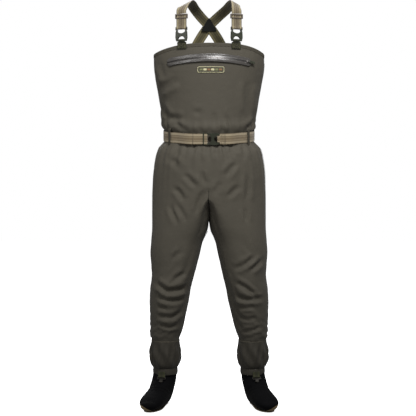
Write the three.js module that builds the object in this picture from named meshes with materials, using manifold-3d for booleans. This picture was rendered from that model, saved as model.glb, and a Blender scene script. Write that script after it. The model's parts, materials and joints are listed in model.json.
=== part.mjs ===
// Stockingfoot chest waders, standing as they are worn: a bib on elastic braces, a belted waist,
// two legs that end in gravel guards, and neoprene booties.
// Millimetres, +Z up, front towards -Y, the wearer's left towards +X.
// The origin is on the ground under the middle of the waders.
import * as THREE from "three";
import { mergeVertices } from "three/addons/utils/BufferGeometryUtils.js";
import Module from "manifold-3d";

const wasm = await Module();
wasm.setup();

// ---- driving dimensions ----
const FABRIC = 2.0; // shell laminate with its seam allowance
const NEOPRENE = 4.0;
const WEBBING = 1.8; // thickness of one layer of webbing
const WEBBING_WIDTH = 38;
const GAP = 0.4; // between pieces that touch
const WAIST_Z = 985;
const CROTCH_Z = 785;
const GUARD_TOP_Z = 236; // where leg, gravel guard and bootie meet
const CUFF_TOP_Z = 136;
const CUFF_BOTTOM_Z = 113;
const BIB_TOP_Z = 1300; // front centre
const BIB_SIDE_DROP = 29;
const BACK_TOP_Z = 1258;
const TOE_OUT = THREE.MathUtils.degToRad(11);
const FOOT_LEAN = 16; // the sole lies further out than the ankle
const FOOT_LEAN_TOP_Z = 140;
const HEEL_TAPER = 0.25; // how much narrower the foot is at the heel and the sole
const ANKLE = { x: 160, y: 46 };
const BODY_Y = 16; // centre of the chest ahead of or behind the origin

// Torso stations: height, half width, half depth.
const TORSO = [
  [CROTCH_Z, 209, 126],
  [850, 205, 130],
  [905, 195, 130],
  [943, 182, 123],
  [962, 160.5, 110],
  [WAIST_Z, 158, 108],
  [1007, 160.5, 110],
  [1030, 169, 115],
  [1090, 177, 117],
  [1170, 191, 122],
  [1225, 201, 125],
  [1305, 200, 123],
];

// Leg stations: height, distance of the centre from the middle, half width, half depth, centre's y.
const LEG = [
  [GUARD_TOP_Z, 159, 52, 65, 38],
  [255, 160, 55, 69, 34],
  [300, 155, 61, 74, 28],
  [342, 151, 66, 78, 22],
  [386, 146, 72, 81, 16],
  [430, 141, 75, 84, 12],
  [473, 132, 78, 87, 10],
  [517, 128, 84, 92, 12],
  [560, 124, 91, 97, 14],
  [604, 117, 95, 102, 15],
  [647, 105, 103, 110, 16],
  [700, 105, 103.5, 117, 16],
  [CROTCH_Z, 105.5, 104.5, 126, 16],
];

// Gravel guard stations: height, distance of the centre from the middle, half width, half depth, centre's y.
const GUARD = [
  [CUFF_TOP_Z, 160, 44, 56, 45],
  [145, 160, 50, 63, 44],
  [161, 160, 55, 68, 43],
  [190, 160, 56, 70, 42],
  [GUARD_TOP_Z - 1, 159, 52, 65, 38],
];

// Bootie stations in the foot's own frame, from the calf to the toe:
// front or instep [y, z], back or sole [y, z], half width.
const SOCK = [
  [[-62, 246], [50, 246], 46],
  [[-56, 190], [52, 190], 43],
  [[-50, 138], [49, 138], 39],
  [[-50, 112], [50, 106], 39.5],
  [[-56, 96], [60, 72], 43],
  [[-70, 86], [64, 34], 44],
  [[-89, 78], [45, 5], 43],
  [[-110, 70], [2, 4.5], 44],
  [[-131, 63], [-50, 4.5], 45],
  [[-155, 56], [-107, 4.5], 45.5],
  [[-180, 47], [-154, 5], 43],
  [[-199, 36], [-186, 8], 32],
];
const TOE_TIP = [-213, 21];
const SOLE_THICKNESS = 3.6;

const BELT_TILT = THREE.MathUtils.degToRad(9); // the belt sits lower at the front
const BELT_CENTRE_Z = 984;
const BELT_HALF = { x: 163, y: 116 };
const BELT_OUT = 2.3; // from the ring above to the middle of the webbing
const BELT_BUCKLE = { x: 36, out: 7, straight: 57 };

const ZIP = { radius: 277, tilt: THREE.MathUtils.degToRad(18.8), halfAngle: 32.5, rest: 30, z: 1253, front: -112.6 };
const BRACE = { x: 96, z: 1313, turn: THREE.MathUtils.degToRad(18.5) };

// ---- finishes ----
const finish = (color, roughness, metalness = 0) =>
  new THREE.MeshStandardMaterial({ color, roughness, metalness });
const shellFabric = finish(0x4c4840, 0.85);
const guardFabric = finish(0x38352e, 0.85);
const neoprene = finish(0x0c0d0f, 0.9);
const soleRubber = finish(0x83765a, 0.8);
const webbing = finish(0x8f8672, 0.9);
const oliveWebbing = finish(0x3f4029, 0.9);
const plastic = finish(0x26281c, 0.45);
const brownPlastic = finish(0x4a433c, 0.5);
const blackPatch = finish(0x0f100f, 0.7);
const zipTape = finish(0x5b5651, 0.3);
const zipMetal = finish(0x7d7a78, 0.35, 0.8);
const badgeRubber = finish(0x4d4538, 0.6);
const lining = finish(0x2c2d2c, 0.9);

const waders = new THREE.Group();

// ---- small tools ----
const v3 = (x, y, z) => new THREE.Vector3(x, y, z);
const smooth = (t) => THREE.MathUtils.smoothstep(t, 0, 1);

function addPart(name, geometry, material, parent = waders) {
  const mesh = new THREE.Mesh(geometry, material);
  mesh.name = name;
  parent.add(mesh);
  return mesh;
}

// The values of a station table at a height, on a smooth curve through the stations.
function stationAt(table, z) {
  const last = table.length - 1;
  let i = 0;
  while (i < last - 1 && z > table[i + 1][0]) i += 1;
  const [before, a, b, after] = [i - 1, i, i + 1, i + 2].map((k) => table[THREE.MathUtils.clamp(k, 0, last)]);
  const t = THREE.MathUtils.clamp((z - a[0]) / (b[0] - a[0]), 0, 1);
  return a.slice(1).map((value, k) => {
    const rise = b[0] - a[0];
    const slopeA = ((b[k + 1] - before[k + 1]) / Math.max(b[0] - before[0], 1)) * rise;
    const slopeB = ((after[k + 1] - value) / Math.max(after[0] - a[0], 1)) * rise;
    const t2 = t * t;
    const t3 = t2 * t;
    return (
      (2 * t3 - 3 * t2 + 1) * value + (t3 - 2 * t2 + t) * slopeA +
      (3 * t2 - 2 * t3) * b[k + 1] + (t3 - t2) * slopeB
    );
  });
}

// A closed wall between an outer and an inner grid of points, grid[row][column].
// With wrap, the last column joins the first. A tip closes the last row over a point on each side.
function wallBetween(outer, inner, { wrap = false, tips = null } = {}) {
  const rows = outer.length;
  const columns = outer[0].length;
  const points = [...outer.flat(), ...inner.flat(), ...(tips ?? [])];
  const at = (side, r, c) => side * rows * columns + r * columns + (c % columns);
  const faces = [];
  const quad = (a, b, c, d) => faces.push([a, b, c], [a, c, d]);
  const spans = wrap ? columns : columns - 1;
  for (let c = 0; c < spans; c += 1) {
    for (let r = 0; r < rows - 1; r += 1) {
      quad(at(0, r, c), at(0, r, c + 1), at(0, r + 1, c + 1), at(0, r + 1, c));
      quad(at(1, r, c + 1), at(1, r, c), at(1, r + 1, c), at(1, r + 1, c + 1));
    }
    quad(at(1, 0, c), at(1, 0, c + 1), at(0, 0, c + 1), at(0, 0, c));
    const end = rows - 1;
    if (tips) {
      const outerTip = 2 * rows * columns;
      faces.push([at(0, end, c), at(0, end, c + 1), outerTip]);
      faces.push([at(1, end, c + 1), at(1, end, c), outerTip + 1]);
    } else {
      quad(at(0, end, c), at(0, end, c + 1), at(1, end, c + 1), at(1, end, c));
    }
  }
  if (!wrap) {
    const side = columns - 1;
    for (let r = 0; r < rows - 1; r += 1) {
      quad(at(1, r, 0), at(0, r, 0), at(0, r + 1, 0), at(1, r + 1, 0));
      quad(at(0, r, side), at(1, r, side), at(1, r + 1, side), at(0, r + 1, side));
    }
  }
  const geometry = new THREE.BufferGeometry();
  geometry.setAttribute("position", new THREE.Float32BufferAttribute(points.flatMap((p) => p.toArray()), 3));
  geometry.setIndex(faces.flat());
  return facingOut(geometry);
}

function solidFrom(geometry) {
  const bare = geometry.index ? geometry.toNonIndexed() : geometry.clone();
  bare.deleteAttribute("normal");
  bare.deleteAttribute("uv");
  const merged = mergeVertices(bare, 1e-3);
  const mesh = new wasm.Mesh({
    numProp: 3,
    vertProperties: new Float32Array(merged.attributes.position.array),
    triVerts: new Uint32Array(merged.index.array),
  });
  return new wasm.Manifold(mesh);
}

function geometryFrom(solid) {
  const mesh = solid.getMesh();
  const geometry = new THREE.BufferGeometry();
  geometry.setAttribute("position", new THREE.BufferAttribute(new Float32Array(mesh.vertProperties), 3));
  geometry.setIndex(new THREE.BufferAttribute(new Uint32Array(mesh.triVerts), 1));
  return geometry;
}

const joined = (...geometries) =>
  geometryFrom(geometries.map(solidFrom).reduce((all, next) => all.add(next)));
const cut = (geometry, ...tools) =>
  geometryFrom(tools.map(solidFrom).reduce((left, tool) => left.subtract(tool), solidFrom(geometry)));

// The same surface with its triangles turned so that they face outwards.
function facingOut(raw) {
  const geometry = raw.index ? raw : mergeVertices(raw, 1e-4);
  const p = geometry.attributes.position;
  const index = geometry.index;
  const [a, b, c] = [v3(), v3(), v3()];
  let volume = 0;
  for (let i = 0; i < index.count; i += 3) {
    a.fromBufferAttribute(p, index.getX(i));
    b.fromBufferAttribute(p, index.getX(i + 1));
    c.fromBufferAttribute(p, index.getX(i + 2));
    volume += a.dot(b.cross(c));
  }
  if (volume < 0) {
    for (let i = 0; i < index.count; i += 3) {
      const second = index.getX(i + 1);
      index.setX(i + 1, index.getX(i + 2));
      index.setX(i + 2, second);
    }
  }
  return geometry;
}

const block = (x0, x1, y0, y1, z0, z1) =>
  new THREE.BoxGeometry(x1 - x0, y1 - y0, z1 - z0).translate((x0 + x1) / 2, (y0 + y1) / 2, (z0 + z1) / 2);

// An outline in X and Z, as thick as y0 to y1.
function plate(outline, y0, y1, holes = []) {
  const shape = new THREE.Shape(outline.map(([x, z]) => new THREE.Vector2(x, z)));
  shape.holes = holes.map((hole) => new THREE.Path(hole.map(([x, z]) => new THREE.Vector2(x, z))));
  const geometry = new THREE.ExtrudeGeometry(shape, { depth: y1 - y0, bevelEnabled: false, curveSegments: 8 });
  return geometry.rotateX(Math.PI / 2).translate(0, y1, 0);
}

// A profile in Y and Z, extruded across X.
function across(profile, halfWidth, hole = null) {
  const shape = new THREE.Shape(profile.map(([y, z]) => new THREE.Vector2(y, z)));
  if (hole) shape.holes = [new THREE.Path(hole.map(([y, z]) => new THREE.Vector2(y, z)))];
  const geometry = new THREE.ExtrudeGeometry(shape, { depth: 2 * halfWidth, bevelEnabled: false });
  const toYZ = new THREE.Matrix4().set(0, 0, 1, -halfWidth, 1, 0, 0, 0, 0, 1, 0, 0, 0, 0, 0, 1);
  return geometry.applyMatrix4(toYZ);
}

const arc = (cx, cz, radius, from, to, steps) =>
  Array.from({ length: steps + 1 }, (_, i) => {
    const a = THREE.MathUtils.degToRad(from + ((to - from) * i) / steps);
    return [cx + radius * Math.cos(a), cz + radius * Math.sin(a)];
  });

// A flat band along a curve. The normals say which way its face looks at each of the curve's points.
function band(points, normals, width, thickness, steps) {
  const centre = new THREE.CatmullRomCurve3(points, false, "centripetal");
  const facing = new THREE.CatmullRomCurve3(normals, false, "centripetal");
  const rows = { outer: [], inner: [] };
  for (let i = 0; i <= steps; i += 1) {
    const t = i / steps;
    const p = centre.getPoint(t);
    const along = centre.getTangent(t);
    const side = along.clone().cross(facing.getPoint(t)).normalize();
    const out = side.clone().cross(along).normalize();
    const edge = (s, o) => p.clone().addScaledVector(side, (s * width) / 2).addScaledVector(out, (o * thickness) / 2);
    rows.outer.push([edge(-1, 1), edge(1, 1)]);
    rows.inner.push([edge(-1, -1), edge(1, -1)]);
  }
  return wallBetween(rows.outer, rows.inner);
}

// ---- the body: torso and leg surfaces ----
// A point of the torso, shrunk by inset. Angle 0 is the wearer's left side, -90 the front.
// Round the waist the sections lean with the belt.
function torsoPoint(z, degrees, inset = 0) {
  const [halfWidth, halfDepth] = stationAt(TORSO, z);
  const a = THREE.MathUtils.degToRad(degrees);
  const depth = (halfDepth - inset) * Math.sin(a);
  const lean = 1 - smooth((Math.abs(z - BELT_CENTRE_Z) - 28) / 100);
  return v3((halfWidth - inset) * Math.cos(a), BODY_Y + depth, z + lean * depth * Math.tan(BELT_TILT));
}

// The bib's top edge: highest at the front centre, lower at the sides and back, with a fuller left corner.
function bibTop(degrees) {
  const a = THREE.MathUtils.degToRad(degrees);
  const corner = Math.cos(a) > 0 ? 4 : 2.5;
  if (Math.sin(a) < 0) return BIB_TOP_Z - BIB_SIDE_DROP * Math.abs(Math.cos(a)) ** corner;
  return THREE.MathUtils.lerp(BIB_TOP_Z - BIB_SIDE_DROP, BACK_TOP_Z, smooth(Math.sin(a)));
}

// A torso panel between two angles. heightsAt lists the heights of its rows at an angle.
function torsoPanel(from, to, heightsAt, columns) {
  const rows = heightsAt(from).length;
  const grid = (inset) =>
    Array.from({ length: rows }, (_, r) =>
      Array.from({ length: columns + 1 }, (_, c) => {
        const degrees = THREE.MathUtils.lerp(from, to, c / columns);
        return torsoPoint(heightsAt(degrees)[r], degrees, inset);
      }));
  return wallBetween(grid(0), grid(FABRIC));
}

const seatHeights = () => [CROTCH_Z + 1, 845, 905, 941, 961, WAIST_Z - 1];
const bibHeights = (degrees) => {
  const top = bibTop(degrees);
  const above = [1, 2, 3, 4, 5].map((i) => THREE.MathUtils.lerp(1031, top, i / 5));
  return [WAIST_Z + 1, 1008, 1031, ...above];
};

// A point of a leg. At the crotch the section is a D with its flat side against the other leg,
// and it rounds off to an ellipse further down. Angle 0 is the outer side, -90 the front.
function legPoint(table, side, z, degrees, inset = 0) {
  const [centre, halfWidth, halfDepth, y] = stationAt(table, z);
  const a = THREE.MathUtils.degToRad(degrees);
  const c = Math.cos(a);
  const roundness = smooth((CROTCH_Z - z) / 190);
  const flatSide = 1 + inset;
  const dShape = c > 0 ? flatSide + (centre + halfWidth - inset - flatSide) * c : flatSide;
  const round = centre + (halfWidth - inset) * c;
  const x = Math.max(THREE.MathUtils.lerp(dShape, round, roundness), flatSide);
  return v3(side * x, y + (halfDepth - inset) * Math.sin(a), z);
}

function legPanel(table, side, from, to, bottom, top, columns, rows, thickness = FABRIC, extra = 0) {
  const grid = (inset) =>
    Array.from({ length: rows + 1 }, (_, r) =>
      Array.from({ length: columns + 1 }, (_, c) => {
        const degrees = THREE.MathUtils.lerp(from, to, c / columns);
        return legPoint(table, side, THREE.MathUtils.lerp(bottom, top, r / rows), degrees, inset - extra);
      }));
  return wallBetween(grid(0), grid(thickness));
}

const SEAM = 0.4; // half the angle left open at a seam, in degrees
function makeBody() {
  const pocketSlit = block(-125, 125, -170, -60, ZIP.z - 7, ZIP.z + 1);
  const bib = torsoPanel(-180 + SEAM, -SEAM, bibHeights, 22);
  addPart("bib_front_panel", cut(bib, pocketSlit), shellFabric);
  addPart("bib_back_panel", torsoPanel(SEAM, 180 - SEAM, bibHeights, 20), shellFabric);
  addPart("seat_front_panel", torsoPanel(-180 + SEAM, -SEAM, seatHeights, 20), shellFabric);
  addPart("seat_back_panel", torsoPanel(SEAM, 180 - SEAM, seatHeights, 20), shellFabric);
  addPart("crotch_gusset", block(-18, 18, BODY_Y - 122, BODY_Y + 122, CROTCH_Z + 1.5, CROTCH_Z + 4), shellFabric);
  for (const [label, side] of [["left", 1], ["right", -1]]) {
    const legArgs = [GUARD_TOP_Z + 0.5, CROTCH_Z - 0.5, 11, 12];
    addPart(`leg_front_${label}`, legPanel(LEG, side, -180 + SEAM, -SEAM, ...legArgs), shellFabric);
    addPart(`leg_back_${label}`, legPanel(LEG, side, SEAM, 180 - SEAM, ...legArgs), shellFabric);
  }
}

// ---- gravel guards, booties and soles ----
// A closed ring of leg points at one height.
const ringAt = (table, side, z, inset, count) =>
  Array.from({ length: count }, (_, c) => legPoint(table, side, z, (360 * c) / count, inset));

function makeGuard(label, side) {
  const heights = [CUFF_TOP_Z + GAP, 145, 160, 182, 208, GUARD_TOP_Z - 1];
  const wall = (inset) => heights.map((z) => ringAt(GUARD, side, z, inset, 20));
  addPart(`gravel_guard_${label}`, wallBetween(wall(0), wall(FABRIC), { wrap: true }), guardFabric);
  const cuff = (half) =>
    [CUFF_BOTTOM_Z, (CUFF_BOTTOM_Z + CUFF_TOP_Z) / 2, CUFF_TOP_Z].map((z) =>
      Array.from({ length: 20 }, (_, c) => {
        const a = (2 * Math.PI * c) / 20;
        return v3(side * (ANKLE.x + half * Math.cos(a)), ANKLE.y - 1 + (half + 11) * Math.sin(a), z);
      }));
  addPart(`guard_cuff_${label}`, wallBetween(cuff(45.5), cuff(42.5), { wrap: true }), guardFabric);
}

// How far out the foot lies at a height above the floor.
const footLean = (z) => FOOT_LEAN * (1 - smooth(z / FOOT_LEAN_TOP_Z));

// A ring of the sock around the line from its front point to its back point, oval in the cuff and
// fuller at the instep and the toes.
function sockRing([[fy, fz], [by, bz], halfWidth], side, inset, count) {
  const [my, mz] = [(fy + by) / 2, (fz + bz) / 2];
  const reach = Math.hypot(fy - by, fz - bz) / 2;
  const [uy, uz] = [(fy - my) / reach, (fz - mz) / reach];
  const floor = SOLE_THICKNESS + GAP + inset;
  return Array.from({ length: count }, (_, i) => {
    const a = (2 * Math.PI * i) / count;
    const along = (reach - inset) * Math.cos(a);
    const z = Math.max(mz + uz * along, floor);
    const taper = HEEL_TAPER * (0.5 - 0.5 * Math.cos(a)) * smooth((CUFF_BOTTOM_Z - z) / 60);
    const fullness = 1 - 0.25 * smooth((CUFF_BOTTOM_Z - z) / 30);
    const across = Math.sign(Math.sin(a)) * Math.abs(Math.sin(a)) ** fullness;
    return v3(side * footLean(z) + (halfWidth * (1 - taper) - inset) * across, my + uy * along, z);
  });
}

function makeFoot(label, side) {
  const foot = new THREE.Group();
  foot.position.set(side * ANKLE.x, ANKLE.y, 0);
  foot.rotation.z = side * TOE_OUT;
  waders.add(foot);
  const sock = (inset) => SOCK.map((station) => sockRing(station, side, inset, 18));
  const tips = [0, NEOPRENE].map((inset) => v3(side * footLean(TOE_TIP[1]), TOE_TIP[0] + inset, TOE_TIP[1]));
  addPart(`bootie_${label}`, wallBetween(sock(0), sock(NEOPRENE), { wrap: true, tips }), neoprene, foot);

  // The outsole is the footprint, with a lip up the outer side of the toe.
  const print = new THREE.Shape();
  print.moveTo(-21, 28);
  print.bezierCurveTo(-21, 52, 21, 52, 21, 28);
  print.bezierCurveTo(21, -20, 28, -60, 31, -105);
  print.bezierCurveTo(33, -160, 18, -193, 0, -194);
  print.bezierCurveTo(-18, -193, -33, -160, -31, -105);
  print.bezierCurveTo(-28, -60, -21, -20, -21, 28);
  const slab = new THREE.ExtrudeGeometry(print, { depth: SOLE_THICKNESS, bevelEnabled: false, curveSegments: 7 });
  addPart(`outsole_${label}`, slab.translate(side * FOOT_LEAN, 0, 0), soleRubber, foot);

  makeLaceHook(label, foot);
}

// A webbing tab hangs from the cuff with a wire hook for the boot's laces, which turns on its top bar.
const HOOK = { y: -61, z: 108, bar: 1.3, lean: THREE.MathUtils.degToRad(46) };
function makeLaceHook(label, foot) {
  const { y, z, bar, lean } = HOOK;
  const tab = webLoop({ y, z, end: 135, way: 1, flat: y + 1.6, bore: bar + GAP, layer: 1.2 }, 12.5);
  addPart(`hook_tab_${label}`, tab, oliveWebbing, foot);
  // The hook leans on the instep; its own frame has the top bar at the origin.
  const frame = new THREE.Group();
  frame.position.set(0, y, z);
  frame.rotation.x = -lean;
  foot.add(frame);
  const rod = new THREE.CylinderGeometry(bar, bar, 31, 10).rotateZ(Math.PI / 2);
  const arms = [-1, 1].map((s) => block(s * 14.4 - 1.1, s * 14.4 + 1.1, -1, 1, -9, 0.5));
  const shelf = block(-15.5, 15.5, -1, 0.8, -11, -7.5);
  const curl = [
    [-1, -9], [-1, -20], [0.5, -22.5], [4, -22.5], [5.6, -20.5], [5.6, -15],
    [4.2, -15], [4, -20], [2.6, -21], [0.8, -19], [0.8, -9],
  ];
  addPart(`lace_hook_${label}`, joined(rod, ...arms, shelf, facingOut(across(curl, 6))), zipMetal, frame);
}

// ---- side-release buckle ----
// Local frame: X across the webbing, -Y towards the front, Z along the webbing with the male side up.
// z = 0 is the bottom of the female part's web bar.
const BUCKLE = { half: 21.5, plate: 5, cavity: 2.9, maleTop: 50, hinge: { x: 17, z: 38 } };

function femaleBuckle() {
  const { half, plate: t, cavity } = BUCKLE;
  const outline = [
    [-half, 12], [-18.5, 0], [18.5, 0], [half, 12], [half - 1, 33], [half - 5, 34.5],
    ...arc(0, 47, 19.5, -50, -130, 8), [-half + 5, 34.5], [-half + 1, 33],
  ];
  const arch = [[-14, 4.6], [14, 4.6], ...arc(0, 4.6, 13, 20, 160, 8)];
  const body = plate(outline, -t, t, [arch]);
  const channel = (s) => block(Math.min(s * 3, s * 30), Math.max(s * 3, s * 30), -cavity, cavity, 20, 40);
  const slimBar = [block(-12, 12, -9, -2.1, -1, 4.7), block(-12, 12, 2.1, 9, -1, 4.7)];
  return cut(body, channel(1), channel(-1), ...slimBar);
}

function maleBuckle(outerBar) {
  const { maleTop } = BUCKLE;
  const bars = [block(-20, 20, -2, 2, 44.2, 48.2)];
  const top = outerBar ? maleTop + 8 : maleTop;
  for (const s of [-1, 1]) {
    const post = [[s * 21.5, top], [s * 19.6, top], [s * 19.6, 40.7], [s * 13.5, 40.7], [s * 13.5, 38.8], [s * 21.5, 38.8]];
    bars.push(plate(s > 0 ? post : post.reverse(), -3.6, 3.6));
  }
  if (outerBar) bars.push(block(-21, 21, -4.6, -2.6, maleTop + 4.2, maleTop + 7.8));
  return joined(...bars);
}

// One springy arm with its press pad; side is -1 or 1.
function buckleProng(side) {
  const outline = [
    [side * 13.2, 38], [side * 19.6, 38], [side * 20.6, 33.5], [side * 21.3, 29], [side * 20.8, 24.5],
    [side * 18.2, 21.4], [side * 14.5, 21.4], [side * 13.4, 24], [side * 15.4, 28], [side * 14.6, 33],
  ];
  return plate(side > 0 ? outline.reverse() : outline, -2.5, 2.5);
}

// Webbing folded round a bar at y, z: a loop, then both layers flat together at `flat`, ending at `end`.
// The layers run upwards when way is 1 and downwards when it is -1.
function webLoop({ y = 0, z, end, way, flat, bore = 3.3, layer = WEBBING }, halfWidth) {
  const around = arc(y, z, bore + layer, 20, -200, 9).map(([py, pz]) => [py, way > 0 ? pz : 2 * z - pz]);
  const neck = z + way * (bore + layer + 3);
  const outline = [...around, [flat - layer, neck], [flat - layer, end], [flat + layer, end], [flat + layer, neck]];
  const hole = arc(y, z, bore, 0, 330, 11);
  return facingOut(across(way > 0 ? outline : outline.reverse(), halfWidth, hole));
}

// ---- braces ----
const LOOP_END = 97; // where the doubled front webbing meets the shoulder strap, in the buckle's frame
const GLIDE_Z = 88;

function braceFrame(side) {
  const degrees = (-Math.acos(BRACE.x / 200.5) * 180) / Math.PI;
  const surface = torsoPoint(BRACE.z - 20, degrees);
  const group = new THREE.Group();
  const out = 6.6;
  group.position.set(
    side * (surface.x + out * Math.sin(BRACE.turn)),
    surface.y - out * Math.cos(BRACE.turn),
    BRACE.z,
  );
  group.rotation.z = side * BRACE.turn;
  waders.add(group);
  return group;
}

function makeGlide(label, frame) {
  const z = GLIDE_Z;
  const posts = [-1, 1].map((s) => block(Math.min(s * 19.8, s * 22.5), Math.max(s * 19.8, s * 22.5), -4.4, 4.4, z - 8, z + 8));
  const front = [-6.2, 6.2].map((dz) => block(-20.5, 20.5, -4.6, -2.6, z + dz - 1.8, z + dz + 1.8));
  const middle = block(-20.5, 20.5, 2.6, 4.6, z - 2.2, z + 2.2);
  addPart(`strap_slider_${label}`, joined(...posts, ...front, middle), brownPlastic, frame);
}

function makeBrace(label, side) {
  const frame = braceFrame(side);
  const half = WEBBING_WIDTH / 2;
  addPart(`anchor_tab_${label}`, webLoop({ z: 2.3, end: -26, way: -1, flat: 3.8 }, 11.5), oliveWebbing, frame);
  addPart(`brace_buckle_female_${label}`, femaleBuckle(), plastic, frame);
  addPart(`brace_buckle_male_${label}`, maleBuckle(false), plastic, frame);
  addPart(`brace_prong_outer_${label}`, buckleProng(side), plastic, frame);
  addPart(`brace_prong_inner_${label}`, buckleProng(-side), plastic, frame);
  addPart(`front_strap_${label}`, webLoop({ z: 46.2, end: LOOP_END, way: 1, flat: 0 }, half), webbing, frame);
  makeGlide(label, frame);

  // The elastic shoulder strap runs over the shoulder, crosses behind the neck and ends on the back panel.
  const start = frame.position;
  const cross = side * 1.9;
  const hang = side > 0 ? 13 : 0; // the left strap hangs further out at the shoulder
  const top = BRACE.z + LOOP_END;
  const path = [
    v3(start.x, start.y, top + 2 * GAP),
    v3(start.x, start.y + 0.6, top + 13),
    v3(side * (91 + hang * 0.4), -84, 1440),
    v3(side * (80 + hang), -42, 1459),
    v3(side * (69 + hang), 12, 1462),
    v3(side * (55 + hang * 0.7), 62, 1450),
    v3(side * (31 + hang * 0.2), 97 + cross, 1428),
    v3(0, 114 + cross, 1397),
    v3(-side * 32, 127.5 + cross * 0.6, 1353),
    v3(-side * 58, 137, 1305),
    v3(-side * 76, 137.2, 1257),
    v3(-side * 88, 133.4, 1214),
  ];
  const facing = [
    v3(side * 0.32, -0.95, 0), v3(side * 0.34, -0.94, 0.08), v3(side * 0.46, -0.78, 0.45), v3(side * 0.5, -0.3, 0.8),
    v3(side * 0.42, 0.25, 0.9), v3(side * 0.2, 0.75, 0.7), v3(0, 0.93, 0.42), v3(0, 0.93, 0.37),
    v3(0, 0.95, 0.3), v3(-side * 0.1, 0.99, 0.1), v3(-side * 0.22, 0.97, 0), v3(-side * 0.28, 0.96, 0),
  ];
  addPart(`shoulder_strap_${label}`, band(path, facing, WEBBING_WIDTH - 1, WEBBING, 36), webbing);
}

// Two triangular patches hold the crossing between them, one on each face of the straps.
function makeCrossPatches() {
  const outline = [[-28, -20], [28, -20], [28, -15], [4, 27], [-4, 27], [-28, -15]];
  const tilt = new THREE.Group();
  tilt.position.set(0, 114, 1399);
  tilt.rotation.x = THREE.MathUtils.degToRad(22);
  waders.add(tilt);
  addPart("cross_patch_inner", plate(outline, -6.9, -4.9), blackPatch, tilt);
  addPart("cross_patch_outer", plate(outline, 4.2, 6.2), blackPatch, tilt);
}

// ---- belt ----
// A point of the belt's path on its tilted ring, out from the ring by `out`, at `up` along the width.
// Across the front the belt leaves the ring and runs straight through the buckle.
function beltPoint(degrees, out, up) {
  const a = THREE.MathUtils.degToRad(degrees);
  const local = v3((BELT_HALF.x + out) * Math.cos(a), (BELT_HALF.y + out) * Math.sin(a), up);
  if (local.y < 0) {
    const straight = -BELT_HALF.y - BELT_BUCKLE.out - (out - BELT_OUT);
    const ring = smooth((Math.abs(local.x) - BELT_BUCKLE.straight) / 60);
    local.y = THREE.MathUtils.lerp(straight, local.y, ring);
  }
  return local.applyAxisAngle(v3(1, 0, 0), BELT_TILT).add(v3(0, BODY_Y, BELT_CENTRE_Z));
}

function beltBand(from, to, steps, inner, outer, halfWidth) {
  const row = (out, up) => Array.from({ length: steps + 1 }, (_, i) =>
    beltPoint(THREE.MathUtils.lerp(from, to, i / steps), out, up));
  return wallBetween([row(outer, -halfWidth), row(outer, halfWidth)], [row(inner, -halfWidth), row(inner, halfWidth)]);
}

function makeBelt() {
  const frame = new THREE.Group();
  const front = beltPoint(-90, BELT_OUT, 0);
  frame.position.set(BELT_BUCKLE.x, front.y, front.z);
  frame.rotation.set(BELT_TILT, 0, 0);
  waders.add(frame);
  const sideways = new THREE.Group(); // the male side points to the wearer's right
  sideways.rotation.y = -Math.PI / 2;
  frame.add(sideways);
  const half = WEBBING_WIDTH / 2;
  addPart("belt_buckle_female", femaleBuckle(), plastic, sideways);
  addPart("belt_buckle_male", maleBuckle(true), plastic, sideways);
  addPart("belt_prong_upper", buckleProng(1), plastic, sideways);
  addPart("belt_prong_lower", buckleProng(-1), plastic, sideways);
  addPart("belt_female_loop", webLoop({ z: 2.3, end: -20, way: -1, flat: 0 }, 11.5), webbing, sideways);
  addPart("belt_adjuster_strap", webLoop({ z: 46.2, end: 92, way: 1, flat: 0 }, half), webbing, sideways);
  // The long webbing runs from behind the female side round the back to the adjuster strap.
  const at = (x) => (-Math.acos(x / (BELT_HALF.x + BELT_OUT)) * 180) / Math.PI;
  const end = BELT_BUCKLE.straight + 1;
  const [inner, outer] = [BELT_OUT - WEBBING / 2, BELT_OUT + WEBBING / 2];
  addPart("belt_webbing", beltBand(at(end), 360 + at(-end), 52, inner, outer, half), webbing);
}

// A strip of shell fabric sewn above and below the belt, standing over it.
function makeBeltLoops() {
  const places = [["front_right", -147], ["front_left", -33], ["back_left", 52], ["back_right", 128]];
  const profile = [[5.6, -28], [6.2, -20], [6.4, 0], [6.2, 20], [5.6, 28]];
  for (const [label, degrees] of places) {
    const middle = beltPoint(degrees, 0, 0);
    const tangent = beltPoint(degrees + 1, 0, 0).sub(middle).normalize();
    const point = ([out, up]) => beltPoint(degrees, out, up);
    const outward = beltPoint(degrees, 1, 0).sub(middle).normalize();
    const rows = (offset) => profile.map((p) =>
      [-6.5, 6.5].map((s) => point(p).addScaledVector(tangent, s).addScaledVector(outward, offset)));
    addPart(`belt_loop_${label}`, wallBetween(rows(1.6), rows(0)), shellFabric);
  }
}

// ---- chest pocket zip ----
// The zip lies on an arc round a leaning axis: local Z is that axis, angle -90 the front centre.
// The strip's section is a list of [distance beyond the zip's radius, local z].
function arcStrip(section, thickness, steps = 18) {
  const row = ([beyond, z], extra) => Array.from({ length: steps + 1 }, (_, i) => {
    const a = THREE.MathUtils.degToRad(THREE.MathUtils.lerp(-ZIP.halfAngle, ZIP.halfAngle, i / steps) - 90);
    const r = ZIP.radius + beyond + extra;
    return v3(r * Math.cos(a), r * Math.sin(a), z);
  });
  return wallBetween(section.map((p) => row(p, thickness)), section.map((p) => row(p, 0)));
}

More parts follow.
